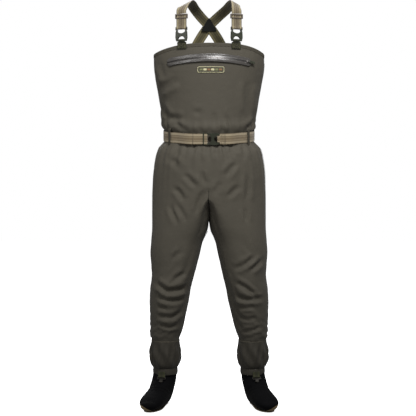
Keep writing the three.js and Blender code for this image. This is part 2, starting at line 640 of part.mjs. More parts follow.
function makeZip() {
  const { radius, tilt, rest, z, front } = ZIP;
  const frame = new THREE.Group();
  frame.position.set(0, front + radius * Math.cos(tilt), z - radius * Math.sin(tilt));
  frame.rotation.x = -tilt;
  waders.add(frame);
  const flare = 8 * Math.tan(tilt); // the tapes' outer edges stand upright on the chest
  addPart("zip_tape_upper", arcStrip([[0, 2.9], [0, 6.5], [flare, 14.5]], 1.2), zipTape, frame);
  addPart("zip_tape_lower", arcStrip([[-flare, -14.5], [0, -6.5], [0, -2.9]], 1.2), zipTape, frame);
  addPart("zip_chain", arcStrip([[0, -2.5], [0, 2.5]], 2.2), zipMetal, frame);
  const end = new THREE.Group(); // the slider rests at the wearer's left end
  end.rotation.z = THREE.MathUtils.degToRad(rest);
  frame.add(end);
  const y = -(radius + 2.6);
  const body = [[-6, -5], [5, -4], [7, 0], [5, 4], [-6, 5]];
  const bridge = [
    block(-5, -3.2, y - 6, y - 2, -1.2, 1.2),
    block(2.4, 4.2, y - 6, y - 2, -1.2, 1.2),
    block(-5, 4.2, y - 6.2, y - 4.8, -1.2, 1.2),
  ];
  addPart("zip_slider", joined(plate(body, y - 2.6, y), ...bridge), zipMetal, end);
  const outline = [[-2.6, -3.6], [2, -4.4], [24, -4.4], [26, -2.4], [26, 2.4], [24, 4.4], [2, 4.4], [-2.6, 3.6]];
  const window = [[-1.2, -1.9], [5.2, -1.9], [5.2, 1.9], [-1.2, 1.9]];
  addPart("zip_pull", plate(outline, y - 4.15, y - 3.25, [window]), plastic, end);
}

function makePocketBag() {
  const rows = [ZIP.z - 175, ZIP.z - 90, ZIP.z - 12];
  const grid = (inset) => rows.map((z) =>
    Array.from({ length: 13 }, (_, c) => torsoPoint(z, -132 + 7 * c, inset)));
  addPart("pocket_bag", wallBetween(grid(FABRIC + 1.5), grid(FABRIC + 3.5)), lining);
}

// A moulded badge below the zip, curved to the chest.
function makeBadge() {
  const grid = (out) => [1200, 1211, 1222].map((z) =>
    Array.from({ length: 9 }, (_, c) => torsoPoint(z, -103 + (27 * c) / 8 + 1.5, -out)));
  addPart("chest_badge", wallBetween(grid(2.6), grid(0.5)), badgeRubber);
}

makeBody();
for (const [label, side] of [["left", 1], ["right", -1]]) {
  makeGuard(label, side);
  makeFoot(label, side);
  makeBrace(label, side);
}
makeCrossPatches();
makeBelt();
makeBeltLoops();
makeZip();
makePocketBag();
makeBadge();

export default waders;
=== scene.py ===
"""Chest waders: the looks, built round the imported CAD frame. Metres, +Z up, front towards -Y."""
import json
import math

import bpy
import numpy as np
from mathutils import Matrix, Vector


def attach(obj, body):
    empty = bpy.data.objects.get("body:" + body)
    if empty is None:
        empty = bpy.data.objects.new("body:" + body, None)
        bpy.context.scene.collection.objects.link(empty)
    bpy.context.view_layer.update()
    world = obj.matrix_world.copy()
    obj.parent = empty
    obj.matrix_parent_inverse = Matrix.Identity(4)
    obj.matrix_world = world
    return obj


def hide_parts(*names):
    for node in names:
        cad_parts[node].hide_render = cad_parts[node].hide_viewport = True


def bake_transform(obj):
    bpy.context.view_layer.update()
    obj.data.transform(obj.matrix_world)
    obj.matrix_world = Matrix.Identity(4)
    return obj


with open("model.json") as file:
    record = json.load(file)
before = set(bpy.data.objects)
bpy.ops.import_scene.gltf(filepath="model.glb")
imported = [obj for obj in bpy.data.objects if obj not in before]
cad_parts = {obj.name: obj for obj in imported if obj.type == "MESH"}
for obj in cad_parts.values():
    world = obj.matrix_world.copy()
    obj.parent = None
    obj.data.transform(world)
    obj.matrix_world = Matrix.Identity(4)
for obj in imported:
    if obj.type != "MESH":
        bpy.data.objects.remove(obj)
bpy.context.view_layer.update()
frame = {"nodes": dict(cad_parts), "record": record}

MM = 0.001
SIDES = (("left", 1), ("right", -1))

# ---------------------------------------------------------------- dimensions, in millimetres
CROTCH_Z, WAIST_Z, GUARD_TOP_Z = 785.0, 985.0, 236.0
CUFF_TOP_Z, CUFF_BOTTOM_Z = 136.0, 113.0
BIB_TOP_Z, BIB_SIDE_DROP, BACK_TOP_Z = 1300.0, 29.0, 1258.0
BODY_Y = 16.0
BELT_TILT, BELT_CENTRE_Z, BELT_OUT = math.radians(9), 984.0, 2.3
BELT_HALF = (163.0, 116.0)
BELT_STRAIGHT, BELT_BUCKLE_OUT, BELT_BUCKLE_X = 57.0, 7.0, 36.0
ANKLE = (160.0, 46.0)
FOOT_LEAN, FOOT_LEAN_TOP_Z = 16.0, 140.0  # the sole lies further out than the ankle
HEEL_TAPER = 0.25
CUFF_HALF = (45.5, 56.5)
TOE_OUT = math.radians(11)
WEBBING_WIDTH, ELASTIC_WIDTH = 37.6, 37
FOLD_BORE, FOLD_LAYER = 3.3, 1.75  # webbing folded round a buckle's bar
BRACE_X, BRACE_Y, BRACE_Z = 97.985, -98.55, 1313
SOLE_TOP_Z = 4.0

TORSO = [  # height, half width, half depth
    (785, 208, 126), (845, 205, 130), (905, 196, 130), (943, 183, 123), (962, 161.5, 110.5),
    (985, 158.5, 108.5), (1007, 161, 110.5), (1030, 169, 115), (1090, 177, 117), (1170, 191, 122),
    (1225, 201, 125), (1262, 201, 124), (1305, 195, 121),
]
LEG = [  # height, centre's distance from the middle, half width, half depth, centre's y
    (236, 159, 51, 64, 38), (255, 160, 54, 68, 34), (300, 155, 61, 74, 28), (342, 151, 66, 78, 22),
    (386, 146, 72, 81, 16), (430, 141, 75, 84, 12), (473, 132, 78, 87, 10), (517, 128, 84, 92, 12),
    (560, 124, 91, 97, 14), (604, 117, 95, 102, 15), (647, 105, 103, 110, 16), (700, 105, 103.5, 117, 16),
    (785, 105.5, 103.5, 126, 16),
]
GUARD = [
    (136, 160, 44, 56, 45), (145, 160, 50, 63, 44), (161, 160, 55, 68, 43), (190, 160, 56, 70, 42),
    (236, 159, 51, 64, 38),
]
SOCK = [  # front or instep (y, z), back or sole (y, z), half width, in the foot's own frame
    ((-62, 246), (50, 246), 46), ((-56, 190), (52, 190), 43), ((-50, 138), (49, 138), 39),
    ((-50, 112), (50, 106), 39.5), ((-56, 96), (60, 72), 43), ((-70, 86), (64, 34), 44),
    ((-89, 78), (45, 5), 43), ((-110, 70), (2, 4.5), 44), ((-131, 63), (-50, 4.5), 45),
    ((-155, 56), (-107, 4.5), 45.5), ((-180, 47), (-154, 5), 43), ((-199, 36), (-186, 8), 32),
]
TOE_TIP = (-213, 21)


def smooth(t):
    t = np.clip(t, 0, 1)
    return t * t * (3 - 2 * t)


def unit(v):
    v = np.asarray(v, float)
    return v / np.maximum(np.linalg.norm(v, axis=-1, keepdims=True), 1e-9)


def run_lengths(points):
    """How far along the line of points each of them lies."""
    return np.concatenate([[0], np.cumsum(np.linalg.norm(np.diff(points, axis=0), axis=1))])


def station(table, z):
    """The table's values at height z, on the same smooth curve that the CAD uses."""
    last = len(table) - 1
    i = 0
    while i < last - 1 and z > table[i + 1][0]:
        i += 1
    p, a, b, n = (table[min(max(k, 0), last)] for k in (i - 1, i, i + 1, i + 2))
    rise = b[0] - a[0]
    t = min(max((z - a[0]) / rise, 0), 1)
    out = []
    for k in range(1, len(a)):
        sa = (b[k] - p[k]) / max(b[0] - p[0], 1) * rise
        sb = (n[k] - a[k]) / max(n[0] - a[0], 1) * rise
        t2, t3 = t * t, t * t * t
        out.append((2 * t3 - 3 * t2 + 1) * a[k] + (t3 - 2 * t2 + t) * sa
                   + (3 * t2 - 2 * t3) * b[k] + (t3 - t2) * sb)
    return out


def torso_point(z, theta, inset=0.0):
    a, b = station(TORSO, z)
    depth = (b - inset) * math.sin(theta)
    lean = 1 - float(smooth((abs(z - BELT_CENTRE_Z) - 28) / 100))
    return ((a - inset) * math.cos(theta), BODY_Y + depth, z + lean * depth * math.tan(BELT_TILT))


def bib_top(theta):
    if math.sin(theta) < 0:
        corner = 4 if math.cos(theta) > 0 else 2.5
        return BIB_TOP_Z - BIB_SIDE_DROP * abs(math.cos(theta)) ** corner
    t = float(smooth(math.sin(theta)))
    return (BIB_TOP_Z - BIB_SIDE_DROP) * (1 - t) + BACK_TOP_Z * t


def leg_point(table, side, z, theta, inset=0.0):
    centre, hw, hd, y = station(table, z)
    c = math.cos(theta)
    roundness = float(smooth((CROTCH_Z - z) / 190))
    flat = 1 + inset
    d_shape = flat + (centre + hw - inset - flat) * c if c > 0 else flat
    x = max(d_shape * (1 - roundness) + (centre + (hw - inset) * c) * roundness, flat)
    return (side * x, y + (hd - inset) * math.sin(theta), z)


# ---------------------------------------------------------------- mesh helpers
def make_object(name, verts, faces, uvs=None, smooth_shade=True):
    """verts in millimetres; uvs hold one (u, v) for each face corner, in metres."""
    mesh = bpy.data.meshes.new(name)
    points = [tuple(float(c) * MM for c in v) for v in verts]
    mesh.from_pydata(points, [], [tuple(int(i) for i in f) for f in faces])
    if uvs is not None:
        layer = mesh.uv_layers.new(name="UVMap")
        layer.data.foreach_set("uv", np.asarray(uvs, np.float32).ravel())
    mesh.validate()
    if smooth_shade:
        mesh.shade_smooth()
    ob = bpy.data.objects.new(name, mesh)
    bpy.context.scene.collection.objects.link(ob)
    return ob


def grid_faces(rows, cols, wrap=False, flip=False):
    faces = []
    span = cols if wrap else cols - 1
    for r in range(rows - 1):
        low, high = r * cols, (r + 1) * cols
        for c in range(span):
            d = (c + 1) % cols
            f = (low + c, low + d, high + d, high + c)
            faces.append(f[::-1] if flip else f)
    return faces


def grid_uvs(rows, cols, us, vs, wrap=False, flip=False):
    """us has one value per column (and one more with wrap), vs one per row."""
    out = []
    span = cols if wrap else cols - 1
    for r in range(rows - 1):
        for c in range(span):
            q = [(us[c], vs[r]), (us[c + 1], vs[r]), (us[c + 1], vs[r + 1]), (us[c], vs[r + 1])]
            out += q[::-1] if flip else q
    return out


def box_faces(base):
    """The faces of a box whose four lower and then four upper corners start at vertex base."""
    ends = [(base + 3, base + 2, base + 1, base), (base + 4, base + 5, base + 6, base + 7)]
    return ends + [(base + k, base + (k + 1) % 4, base + 4 + (k + 1) % 4, base + 4 + k) for k in range(4)]


def modifier(ob, kind, **values):
    m = ob.modifiers.new(kind.title(), kind)
    for key, value in values.items():
        setattr(m, key, value)
    return m


# ---------------------------------------------------------------- material helpers
class Nodes:
    """A short way to write a node tree."""

    def __init__(self, name, base, roughness, metallic=0.0, specular=0.5):
        self.mat = bpy.data.materials.new(name)
        self.mat.use_nodes = True
        self.tree = self.mat.node_tree
        self.bsdf = self.tree.nodes["Principled BSDF"]
        self.bsdf.inputs["Base Color"].default_value = (*base, 1)
        self.bsdf.inputs["Roughness"].default_value = roughness
        self.bsdf.inputs["Metallic"].default_value = metallic
        self.bsdf.inputs["Specular IOR Level"].default_value = specular

    def add(self, kind, inputs=None, **props):
        n = self.tree.nodes.new(kind)
        for k, v in props.items():
            setattr(n, k, v)
        for k, v in (inputs or {}).items():
            if isinstance(v, bpy.types.NodeSocket):
                self.tree.links.new(v, n.inputs[k])
            else:
                n.inputs[k].default_value = v
        return n

    def coords(self, kind="UV"):
        return self.add("ShaderNodeTexCoord").outputs[kind]

    def split(self, vector):
        n = self.add("ShaderNodeSeparateXYZ", {0: vector})
        return n.outputs[0], n.outputs[1], n.outputs[2]

    def math(self, op, a, b=0.0, clamp=False):
        return self.add("ShaderNodeMath", {0: a, 1: b}, operation=op, use_clamp=clamp).outputs[0]

    def noise(self, vector, scale, detail=3.0, rough=0.55):
        inputs = {"Vector": vector, "Scale": scale, "Detail": detail, "Roughness": rough}
        return self.add("ShaderNodeTexNoise", inputs).outputs[0]

    def between(self, fac, low, high):
        """A value from 0 to 1, spread over low to high."""
        return self.add("ShaderNodeMapRange", {0: fac, 3: low, 4: high}).outputs[0]

    def wave(self, value, rate):
        """A sine from 0 to 1, with rate radians for each unit of value."""
        sine = self.math("SINE", self.math("MULTIPLY", value, rate))
        return self.math("ADD", self.math("MULTIPLY", sine, 0.5), 0.5)

    def ramp(self, fac, stops):
        n = self.add("ShaderNodeValToRGB", {0: fac})
        ramp = n.color_ramp
        while len(ramp.elements) < len(stops):
            ramp.elements.new(0.5)
        for e, (pos, col) in zip(ramp.elements, stops):
            e.position = pos
            e.color = (*col, 1)
        return n.outputs[0]

    def mix(self, fac, a, b, blend="MIX"):
        n = self.add("ShaderNodeMix", data_type="RGBA", blend_type=blend)
        for key, v in ((0, fac), (6, a), (7, b)):
            if isinstance(v, bpy.types.NodeSocket):
                self.tree.links.new(v, n.inputs[key])
            else:
                n.inputs[key].default_value = v if key == 0 else (*v, 1)
        return n.outputs[2]

    def to(self, socket, value):
        self.tree.links.new(value, self.bsdf.inputs[socket])
        return self

    def bump(self, height, distance, strength=1.0, below=None):
        inputs = {"Height": height, "Distance": distance, "Strength": strength}
        if below is not None:
            inputs["Normal"] = below
        return self.add("ShaderNodeBump", inputs).outputs[0]

    def weave(self, vector, pitch):
        """0 to 1: the height of a plain weave with this thread pitch in metres."""
        u, v, _ = self.split(vector)
        k = 2 * math.pi / pitch
        a = self.math("SINE", self.math("MULTIPLY", u, k))
        b = self.math("SINE", self.math("MULTIPLY", v, k))
        return self.math("ADD", self.math("MULTIPLY", self.math("MULTIPLY", a, b), 0.5), 0.5)


def rgb(code):
    """A linear colour from an sRGB hex code."""
    parts = [int(code[i:i + 2], 16) / 255 for i in (0, 2, 4)]
    return tuple(c / 12.92 if c <= 0.04045 else ((c + 0.055) / 1.055) ** 2.4 for c in parts)


def scaled(c, k):
    return tuple(min(x * k, 1) for x in c)


def fabric_material(name, code, contrast=1.0, pitch=0.0007, low_shade=1.0):
    base = rgb(code)
    m = Nodes(name, base, 0.78, specular=0.28)
    uv = m.coords("UV")
    place = m.coords("Object")
    weave = m.weave(uv, pitch)
    cloud = m.noise(place, 9.0, 4.0)
    speck = m.noise(uv, 900.0, 1.0)
    tone = m.mix(cloud, scaled(base, 1 - 0.14 * contrast), scaled(base, 1 + 0.14 * contrast))
    tone = m.mix(m.math("MULTIPLY", speck, 0.35), tone, scaled(base, 1.35))
    tone = m.mix(m.math("MULTIPLY", weave, 0.22), tone, scaled(base, 0.72))
    if low_shade < 1:  # painted shade: the lower legs darken towards the bottom, standing in for light that falls from above
        height = m.split(place)[2]
        painted_shade_factor = m.add("ShaderNodeMapRange", {0: height, 1: 0.2, 2: 0.72, 3: low_shade, 4: 1.0}).outputs[0]
        grey = m.add("ShaderNodeCombineXYZ", {0: painted_shade_factor, 1: painted_shade_factor, 2: painted_shade_factor}).outputs[0]
        tone = m.mix(1.0, tone, grey, "MULTIPLY")
    m.to("Base Color", tone)
    m.to("Roughness", m.between(cloud, 0.70, 0.86))
    crease = m.noise(place, 26.0, 5.0, 0.6)
    normal = m.bump(crease, 0.006, 0.35)
    normal = m.bump(m.noise(place, 75.0, 3.0), 0.0012, 0.35, normal)
    m.to("Normal", m.bump(weave, 0.00012, 0.6, normal))
    m.bsdf.inputs["Sheen Weight"].default_value = 0.03
    return m.mat


def webbing_material(name, edge, body, dark):
    """u runs across the strap from 0 to 1, v along it in metres."""
    m = Nodes(name, rgb(body), 0.85, specular=0.2)
    uv = m.coords("UV")
    u, v, _ = m.split(uv)
    mid = m.math("ABSOLUTE", m.math("SUBTRACT", u, 0.5))
    bands = m.ramp(mid, [
        (0.0, rgb(dark)), (0.075, rgb(dark)), (0.10, rgb(body)), (0.17, rgb(body)), (0.195, rgb(dark)),
        (0.235, rgb(dark)), (0.26, rgb(body)), (0.32, rgb(edge)), (0.42, rgb(edge)), (0.455, rgb(body)),
        (0.5, rgb(dark)),
    ])
    rib = m.wave(u, 2 * math.pi * 16)
    pick = m.wave(v, 2 * math.pi / 0.0016)
    weave = m.math("MULTIPLY", rib, pick)
    fuzz = m.noise(m.coords("Object"), 300.0, 3.0)
    # painted shade: the colour darkens in the low points of the weave, between ribs and picks
    tone = m.mix(m.math("MULTIPLY", m.math("SUBTRACT", 1.0, weave), 0.4), bands, scaled(rgb(dark), 0.8))
    tone = m.mix(m.math("MULTIPLY", fuzz, 0.3), tone, scaled(rgb(edge), 1.1))
    m.to("Base Color", tone)
    normal = m.bump(rib, 0.0004, 0.5)
    normal = m.bump(pick, 0.0003, 0.45, normal)
    m.to("Normal", m.bump(fuzz, 0.0002, 0.4, normal))
    m.bsdf.inputs["Sheen Weight"].default_value = 0.2
    return m.mat


def plastic_material(name, code, roughness=0.42):
    base = rgb(code)
    m = Nodes(name, base, roughness, specular=0.45)
    place = m.coords("Object")
    cloud = m.noise(place, 60.0, 3.0)
    m.to("Base Color", m.mix(cloud, scaled(base, 0.85), scaled(base, 1.2)))
    grain = m.noise(place, 2600.0, 2.0)
    m.to("Roughness", m.between(cloud, roughness - 0.06, roughness + 0.14))
    m.to("Normal", m.bump(grain, 0.00008, 0.5))
    return m.mat


MAT = {
    # the shell's low_shade paints shade on the lower legs, darker towards the bottom
    "shell": fabric_material("shell_fabric", "47433a", low_shade=0.66),
    # painted shade: the guards are the shell's fabric, given a darker base colour for the weaker light low
    # down
    "guard": fabric_material("guard_fabric", "2c2922"),
    "lining": fabric_material("lining_fabric", "34363a", 0.6),
    "webbing": webbing_material("khaki_webbing", "a3977f", "84775f", "63543f"),
    "brace": webbing_material("brace_webbing", "948a6e", "6f6456", "4a4034"),
    # painted shade: a darker copy of the brace webbing for the inner face of the shoulder straps
    "shaded_inner_webbing": webbing_material("brace_webbing_inner_shaded", "7c7455", "4f4a35", "332f20"),
    "olive": webbing_material("olive_webbing", "34351f", "2a2b1b", "1e1f13"),
    "plastic": plastic_material("buckle_plastic", "24271a"),
    "brown": plastic_material("slider_plastic", "50473d", 0.5),
}

# ---------------------------------------------------------------- camera, light, floor
scene = bpy.context.scene
camera = bpy.data.objects.new("camera", bpy.data.cameras.new("camera"))
scene.collection.objects.link(camera)
camera.location = (-0.0036, -4.5, 0.720)
camera.rotation_euler = (math.pi / 2, 0, 0)
camera.data.sensor_width = 36
camera.data.lens = 107.2
camera.data.clip_end = 60
scene.camera = camera
scene.view_settings.view_transform = "Standard"


def area_light(name, location, target, size, power):
    data = bpy.data.lights.new(name, "AREA")
    data.shape = "RECTANGLE"
    data.size, data.size_y = size
    data.energy = power
    ob = bpy.data.objects.new(name, data)
    scene.collection.objects.link(ob)
    ob.location = location
    ob.rotation_euler = (Vector(target) - Vector(location)).to_track_quat("-Z", "Y").to_euler()


world = bpy.data.worlds.new("world")
scene.world = world
world.use_nodes = True
world_tree = world.node_tree
world_tree.nodes["Background"].inputs[0].default_value = (1, 1, 1, 1)
seen = world_tree.nodes.new("ShaderNodeLightPath").outputs["Is Camera Ray"]
glow = world_tree.nodes.new("ShaderNodeMapRange")
glow.inputs[3].default_value, glow.inputs[4].default_value = 0.30, 1.0
world_tree.links.new(seen, glow.inputs[0])
world_tree.links.new(glow.outputs[0], world_tree.nodes["Background"].inputs[1])
area_light("key", (0.55, -2.3, 3.1), (0, 0, 1.0), (0.9, 0.9), 106)
area_light("fill", (-2.0, -3.0, 2.2), (0, 0, 0.9), (1.0, 1.0), 30)
area_light("top", (0.3, 0.4, 3.4), (0, 0, 1.0), (1.6, 1.0), 30)
area_light("back", (-0.6, 3.2, 2.8), (0, 0, 0.9), (1.2, 1.2), 60)

floor_mesh = bpy.data.meshes.new("floor")
floor_mesh.from_pydata([(-14, -9, 0), (14, -9, 0), (14, 22, 0), (-14, 22, 0)], [], [(0, 1, 2, 3)])
floor = bpy.data.objects.new("floor", floor_mesh)
scene.collection.objects.link(floor)
floor.location.z = -0.0005
floor_look = Nodes("floor_paint", (0.93, 0.93, 0.93), 0.9, specular=0.1)
floor_look.to("Base Color", floor_look.ramp(floor_look.noise(floor_look.coords("Object"), 1.5, 2.0),
                                            [(0.0, (0.92, 0.92, 0.92)), (1.0, (0.95, 0.95, 0.95))]))
floor_look.bsdf.inputs["Emission Color"].default_value = (1, 1, 1, 1)
floor_look.bsdf.inputs["Emission Strength"].default_value = 0.9
floor.data.materials.append(floor_look.mat)
floor.visible_diffuse = False
floor.visible_glossy = False

# ---------------------------------------------------------------- the garment's cloth
HALF_COLS = 54  # columns from front centre round one side to back centre
RING_COLS = 2 * HALF_COLS
CROTCH_COLS = 24  # columns across the crotch between the legs
CROTCH_DIP = 16
RING_ANGLES = [math.radians(-90 + 180 * c / HALF_COLS) for c in range(RING_COLS)]
CROTCH_ANGLES = [math.radians(90 + 180 * k / (CROTCH_COLS + 1)) for k in range(1, CROTCH_COLS + 1)]
TORSO_ROWS_LOW = np.concatenate([np.linspace(785, 930, 16), np.linspace(938, 985, 7)])
BIB_LEVEL_Z = 1031  # above this the rows turn from level to the bib's top edge
TORSO_ROWS_MID = np.linspace(992, BIB_LEVEL_Z, 6)
TORSO_ROWS_TOP = 29
LEG_ROWS = np.linspace(785, 236, 60)
GUARD_ROWS = np.linspace(GUARD_TOP_Z, CUFF_TOP_Z, 12)


class Cloth:
    """The shell and the gravel guards as one sheet: torso rings that split into two legs at the crotch."""

    def __init__(self):
        self.verts, self.outward = [], []
        self.faces, self.uvs, self.part = [], [], []
        self.split_row = len(TORSO_ROWS_LOW) - 1  # the ring between the seat and the bib
        self.seam_row = len(LEG_ROWS) - 1  # the ring between a leg and its guard
        rings = self.torso_rings()
        points = [(0, BODY_Y + TORSO[0][2] * math.sin(t), CROTCH_Z - CROTCH_DIP * math.cos(t) ** 2)
                  for t in CROTCH_ANGLES]
        crotch = [self.vertex(point, None) for point in points]
        self.torso = np.array(rings)
        self.legs = {label: self.leg_rings(rings[0], crotch, label, side) for label, side in SIDES}
        self.verts = np.array(self.verts, float)
        self.outward = np.array(self.outward, float)

    def torso_rings(self):
        rings = []
        for z in (*TORSO_ROWS_LOW, *TORSO_ROWS_MID):
            rings.append([self.vertex(torso_point(z, t), t) for t in RING_ANGLES])
        for i in range(1, TORSO_ROWS_TOP + 1):
            k = i / TORSO_ROWS_TOP
            rings.append([self.vertex(torso_point(BIB_LEVEL_Z + (bib_top(t) - BIB_LEVEL_Z) * k, t), t)
                          for t in RING_ANGLES])
        arc = self.arc_lengths(rings[len(rings) // 2])
        heights = [np.mean([self.verts[i][2] for i in ring]) for ring in rings]
        for r in range(len(rings) - 1):
            self.band(rings, r, arc, heights, "seat" if r < self.split_row else "bib", (0, 1, 2, 3))
        return rings

    def leg_rings(self, hip_ring, crotch, label, side):
        outer = [hip_ring[side * c % RING_COLS] for c in range(HALF_COLS + 1)]
        rings = [outer + crotch]
        for table, levels in ((LEG, LEG_ROWS), (GUARD, GUARD_ROWS)):
            for z in levels[1:]:
                rings.append([self.vertex(leg_point(table, side, z, t), t, side)
                              for t in (*RING_ANGLES[:HALF_COLS + 1], *CROTCH_ANGLES)])
        arc = self.arc_lengths(rings[len(LEG_ROWS) // 2])
        heights = [CROTCH_Z] + [self.verts[ring[0]][2] for ring in rings[1:]]
        for r in range(len(rings) - 1):
            part = f"leg_{label}" if r < self.seam_row else f"guard_{label}"
            self.band(rings, r, arc, heights, part, (0, 3, 2, 1) if side > 0 else (1, 2, 3, 0))
        return np.array(rings)

    def vertex(self, point, theta, side=0):
        self.verts.append(point)
        if theta is None:
            self.outward.append((0, 0, -1))
        else:
            c = math.cos(theta) * (side or 1)
            self.outward.append((c, math.sin(theta), 0) if side else (c * 0.62, math.sin(theta), 0))
        return len(self.verts) - 1

    def arc_lengths(self, ring):
        return run_lengths(np.array([self.verts[i] for i in (*ring, ring[0])]))

    def band(self, rings, r, arc, heights, part, order):
        """The quads between ring r and the next one. order is the way round their corners."""
        here, beyond = rings[r], rings[r + 1]
        for c in range(len(here)):
            d = (c + 1) % len(here)
            corners = ((here[c], arc[c], heights[r]), (here[d], arc[c + 1], heights[r]),
                       (beyond[d], arc[c + 1], heights[r + 1]), (beyond[c], arc[c], heights[r + 1]))
            self.faces.append(tuple(corners[k][0] for k in order))
            self.uvs.append([(corners[k][1] * MM, corners[k][2] * MM) for k in order])
            self.part.append(part)

    def piece(self, name, points, parts):
        """An object of the faces of some parts, at the given vertex positions."""
        chosen = [i for i, p in enumerate(self.part) if p in parts]
        used = sorted({v for i in chosen for v in self.faces[i]})
        index = {v: i for i, v in enumerate(used)}
        faces = [[index[v] for v in self.faces[i]] for i in chosen]
        uvs = [uv for i in chosen for uv in self.uvs[i]]
        return make_object(name, points[used], faces, uvs)


# Folds drawn on the front as lines of (x, z), with depth and width: a valley between two ridges.
FOLDS = [
    ([(-86, 842), (-46, 795)], 5.5, 7), ([(-32, 850), (-14, 806)], 5, 7),
    ([(-126, 795), (-104, 775), (-90, 748)], 5, 7), ([(-140, 734), (-128, 700), (-114, 668)], 4, 7),
    ([(-118, 738), (-100, 708), (-84, 674)], 4, 7), ([(-150, 905), (-118, 880), (-96, 850)], 3, 9),
    ([(106, 798), (90, 785), (69, 760)], 5, 7), ([(95, 882), (80, 862), (58, 832)], 4.5, 8),
    ([(139, 840), (141, 790), (136, 748)], 4, 8), ([(131, 722), (136, 674)], 3, 7),
    ([(40, 812), (22, 772)], 4, 7), ([(-20, 780), (-40, 735), (-45, 700)], 4, 8),
    ([(-198, 457), (-148, 424), (-74, 436)], 8, 8), ([(-132, 468), (-84, 489)], 4, 7),
    ([(-194, 408), (-132, 392), (-80, 397)], 6, 7), ([(-188, 337), (-133, 331), (-94, 354)], 5, 7),
    ([(-182, 304), (-140, 292), (-108, 300)], 4, 6), ([(-188, 372), (-150, 362)], 3.5, 6),
    ([(-138, 542), (-102, 568)], 3, 7), ([(92, 503), (130, 521), (168, 549)], 5, 7),
    ([(146, 499), (170, 516), (198, 540)], 5, 7), ([(96, 456), (132, 440), (172, 409)], 5, 7),
    ([(90, 407), (140, 395), (202, 401)], 6, 7), ([(96, 366), (172, 371)], 5, 6),
    ([(120, 273), (150, 279), (188, 294)], 4.5, 6), ([(108, 330), (140, 322), (176, 330)], 3.5, 6),
    ([(-150, 1046), (-118, 1042), (-88, 1038)], 4.5, 7), ([(-122, 1030), (-104, 1015), (-86, 996)], 4, 7),
    ([(170, 1038), (152, 1018), (132, 1004)], 5, 8), ([(-178, 1148), (-150, 1160), (-114, 1180)], 5.5, 11),
    ([(-172, 1090), (-158, 1066), (-144, 1048)], 4.5, 8), ([(143, 1172), (138, 1120), (142, 1058)], 4, 11),
    ([(18, 1060), (20, 1000)], 2.5, 7), ([(-60, 1062), (-22, 1058)], 2.5, 8),
    ([(60, 1050), (76, 1004)], 3, 7), ([(-178, 1240), (-160, 1205), (-150, 1180)], 3, 10),
    ([(-84, 952), (-112, 935), (-138, 904)], 4.5, 6), ([(-102, 934), (-125, 882)], 4, 6),
    ([(-46, 954), (-54, 910)], 4, 6), ([(-4, 950), (-3, 884)], 4, 6), ([(28, 950), (24, 906)], 4, 6),
    ([(70, 954), (86, 900)], 4.5, 6), ([(118, 950), (128, 890)], 3.5, 7),
]
BACK_FOLDS = [
    ([(-96, 862), (-50, 815)], 5, 8), ([(88, 858), (44, 812)], 5, 8),
    ([(-30, 800), (-60, 760), (-130, 742)], 5, 8), ([(28, 800), (66, 756), (132, 736)], 5, 8),
    ([(-140, 700), (-90, 672)], 4, 8), ([(142, 704), (84, 668)], 4, 8),
    ([(-196, 500), (-140, 480), (-78, 492)], 6, 8), ([(196, 506), (136, 484), (80, 494)], 6, 8),
    ([(-192, 462), (-132, 448), (-80, 458)], 7, 8), ([(192, 458), (140, 446), (86, 462)], 7, 8),
    ([(-190, 418), (-140, 410), (-92, 428)], 5, 7), ([(190, 420), (146, 406), (94, 420)], 5, 7),
    ([(-186, 350), (-130, 338), (-104, 352)], 4, 7), ([(184, 344), (140, 334), (104, 342)], 4, 7),
    ([(-182, 300), (-150, 290)], 4, 6), ([(180, 296), (132, 286)], 4, 6),
    ([(-130, 1120), (-60, 1090)], 3, 11), ([(120, 1140), (70, 1096)], 3, 11),
    ([(-80, 930), (-100, 880)], 4, 8), ([(90, 934), (110, 884)], 4, 8),
]


def stroke(points, line, depth, width):
    """Outward offset for each (x, z) point from one fold."""
    best = np.full(len(points), 1e9)
    along = np.zeros(len(points))
    line = np.array(line, float)
    spans = np.linalg.norm(np.diff(line, axis=0), axis=1)
    done = 0.0
    for a, b, span in zip(line[:-1], line[1:], spans):
        t = np.clip(((points - a) @ (b - a)) / span ** 2, 0, 1)
        d = np.linalg.norm(points - (a + t[:, None] * (b - a)), axis=1)
        near = d < best
        best[near] = d[near]
        along[near] = (done + t[near] * span) / spans.sum()
        done += span
    taper = smooth(np.minimum(along, 1 - along) / 0.25 + 0.15)
    shape = -np.exp(-(best / width) ** 2) + 0.55 * np.exp(-((best - 2.1 * width) / width) ** 2)
    return depth * taper * shape


GUARD_CENTRE_Y = 42


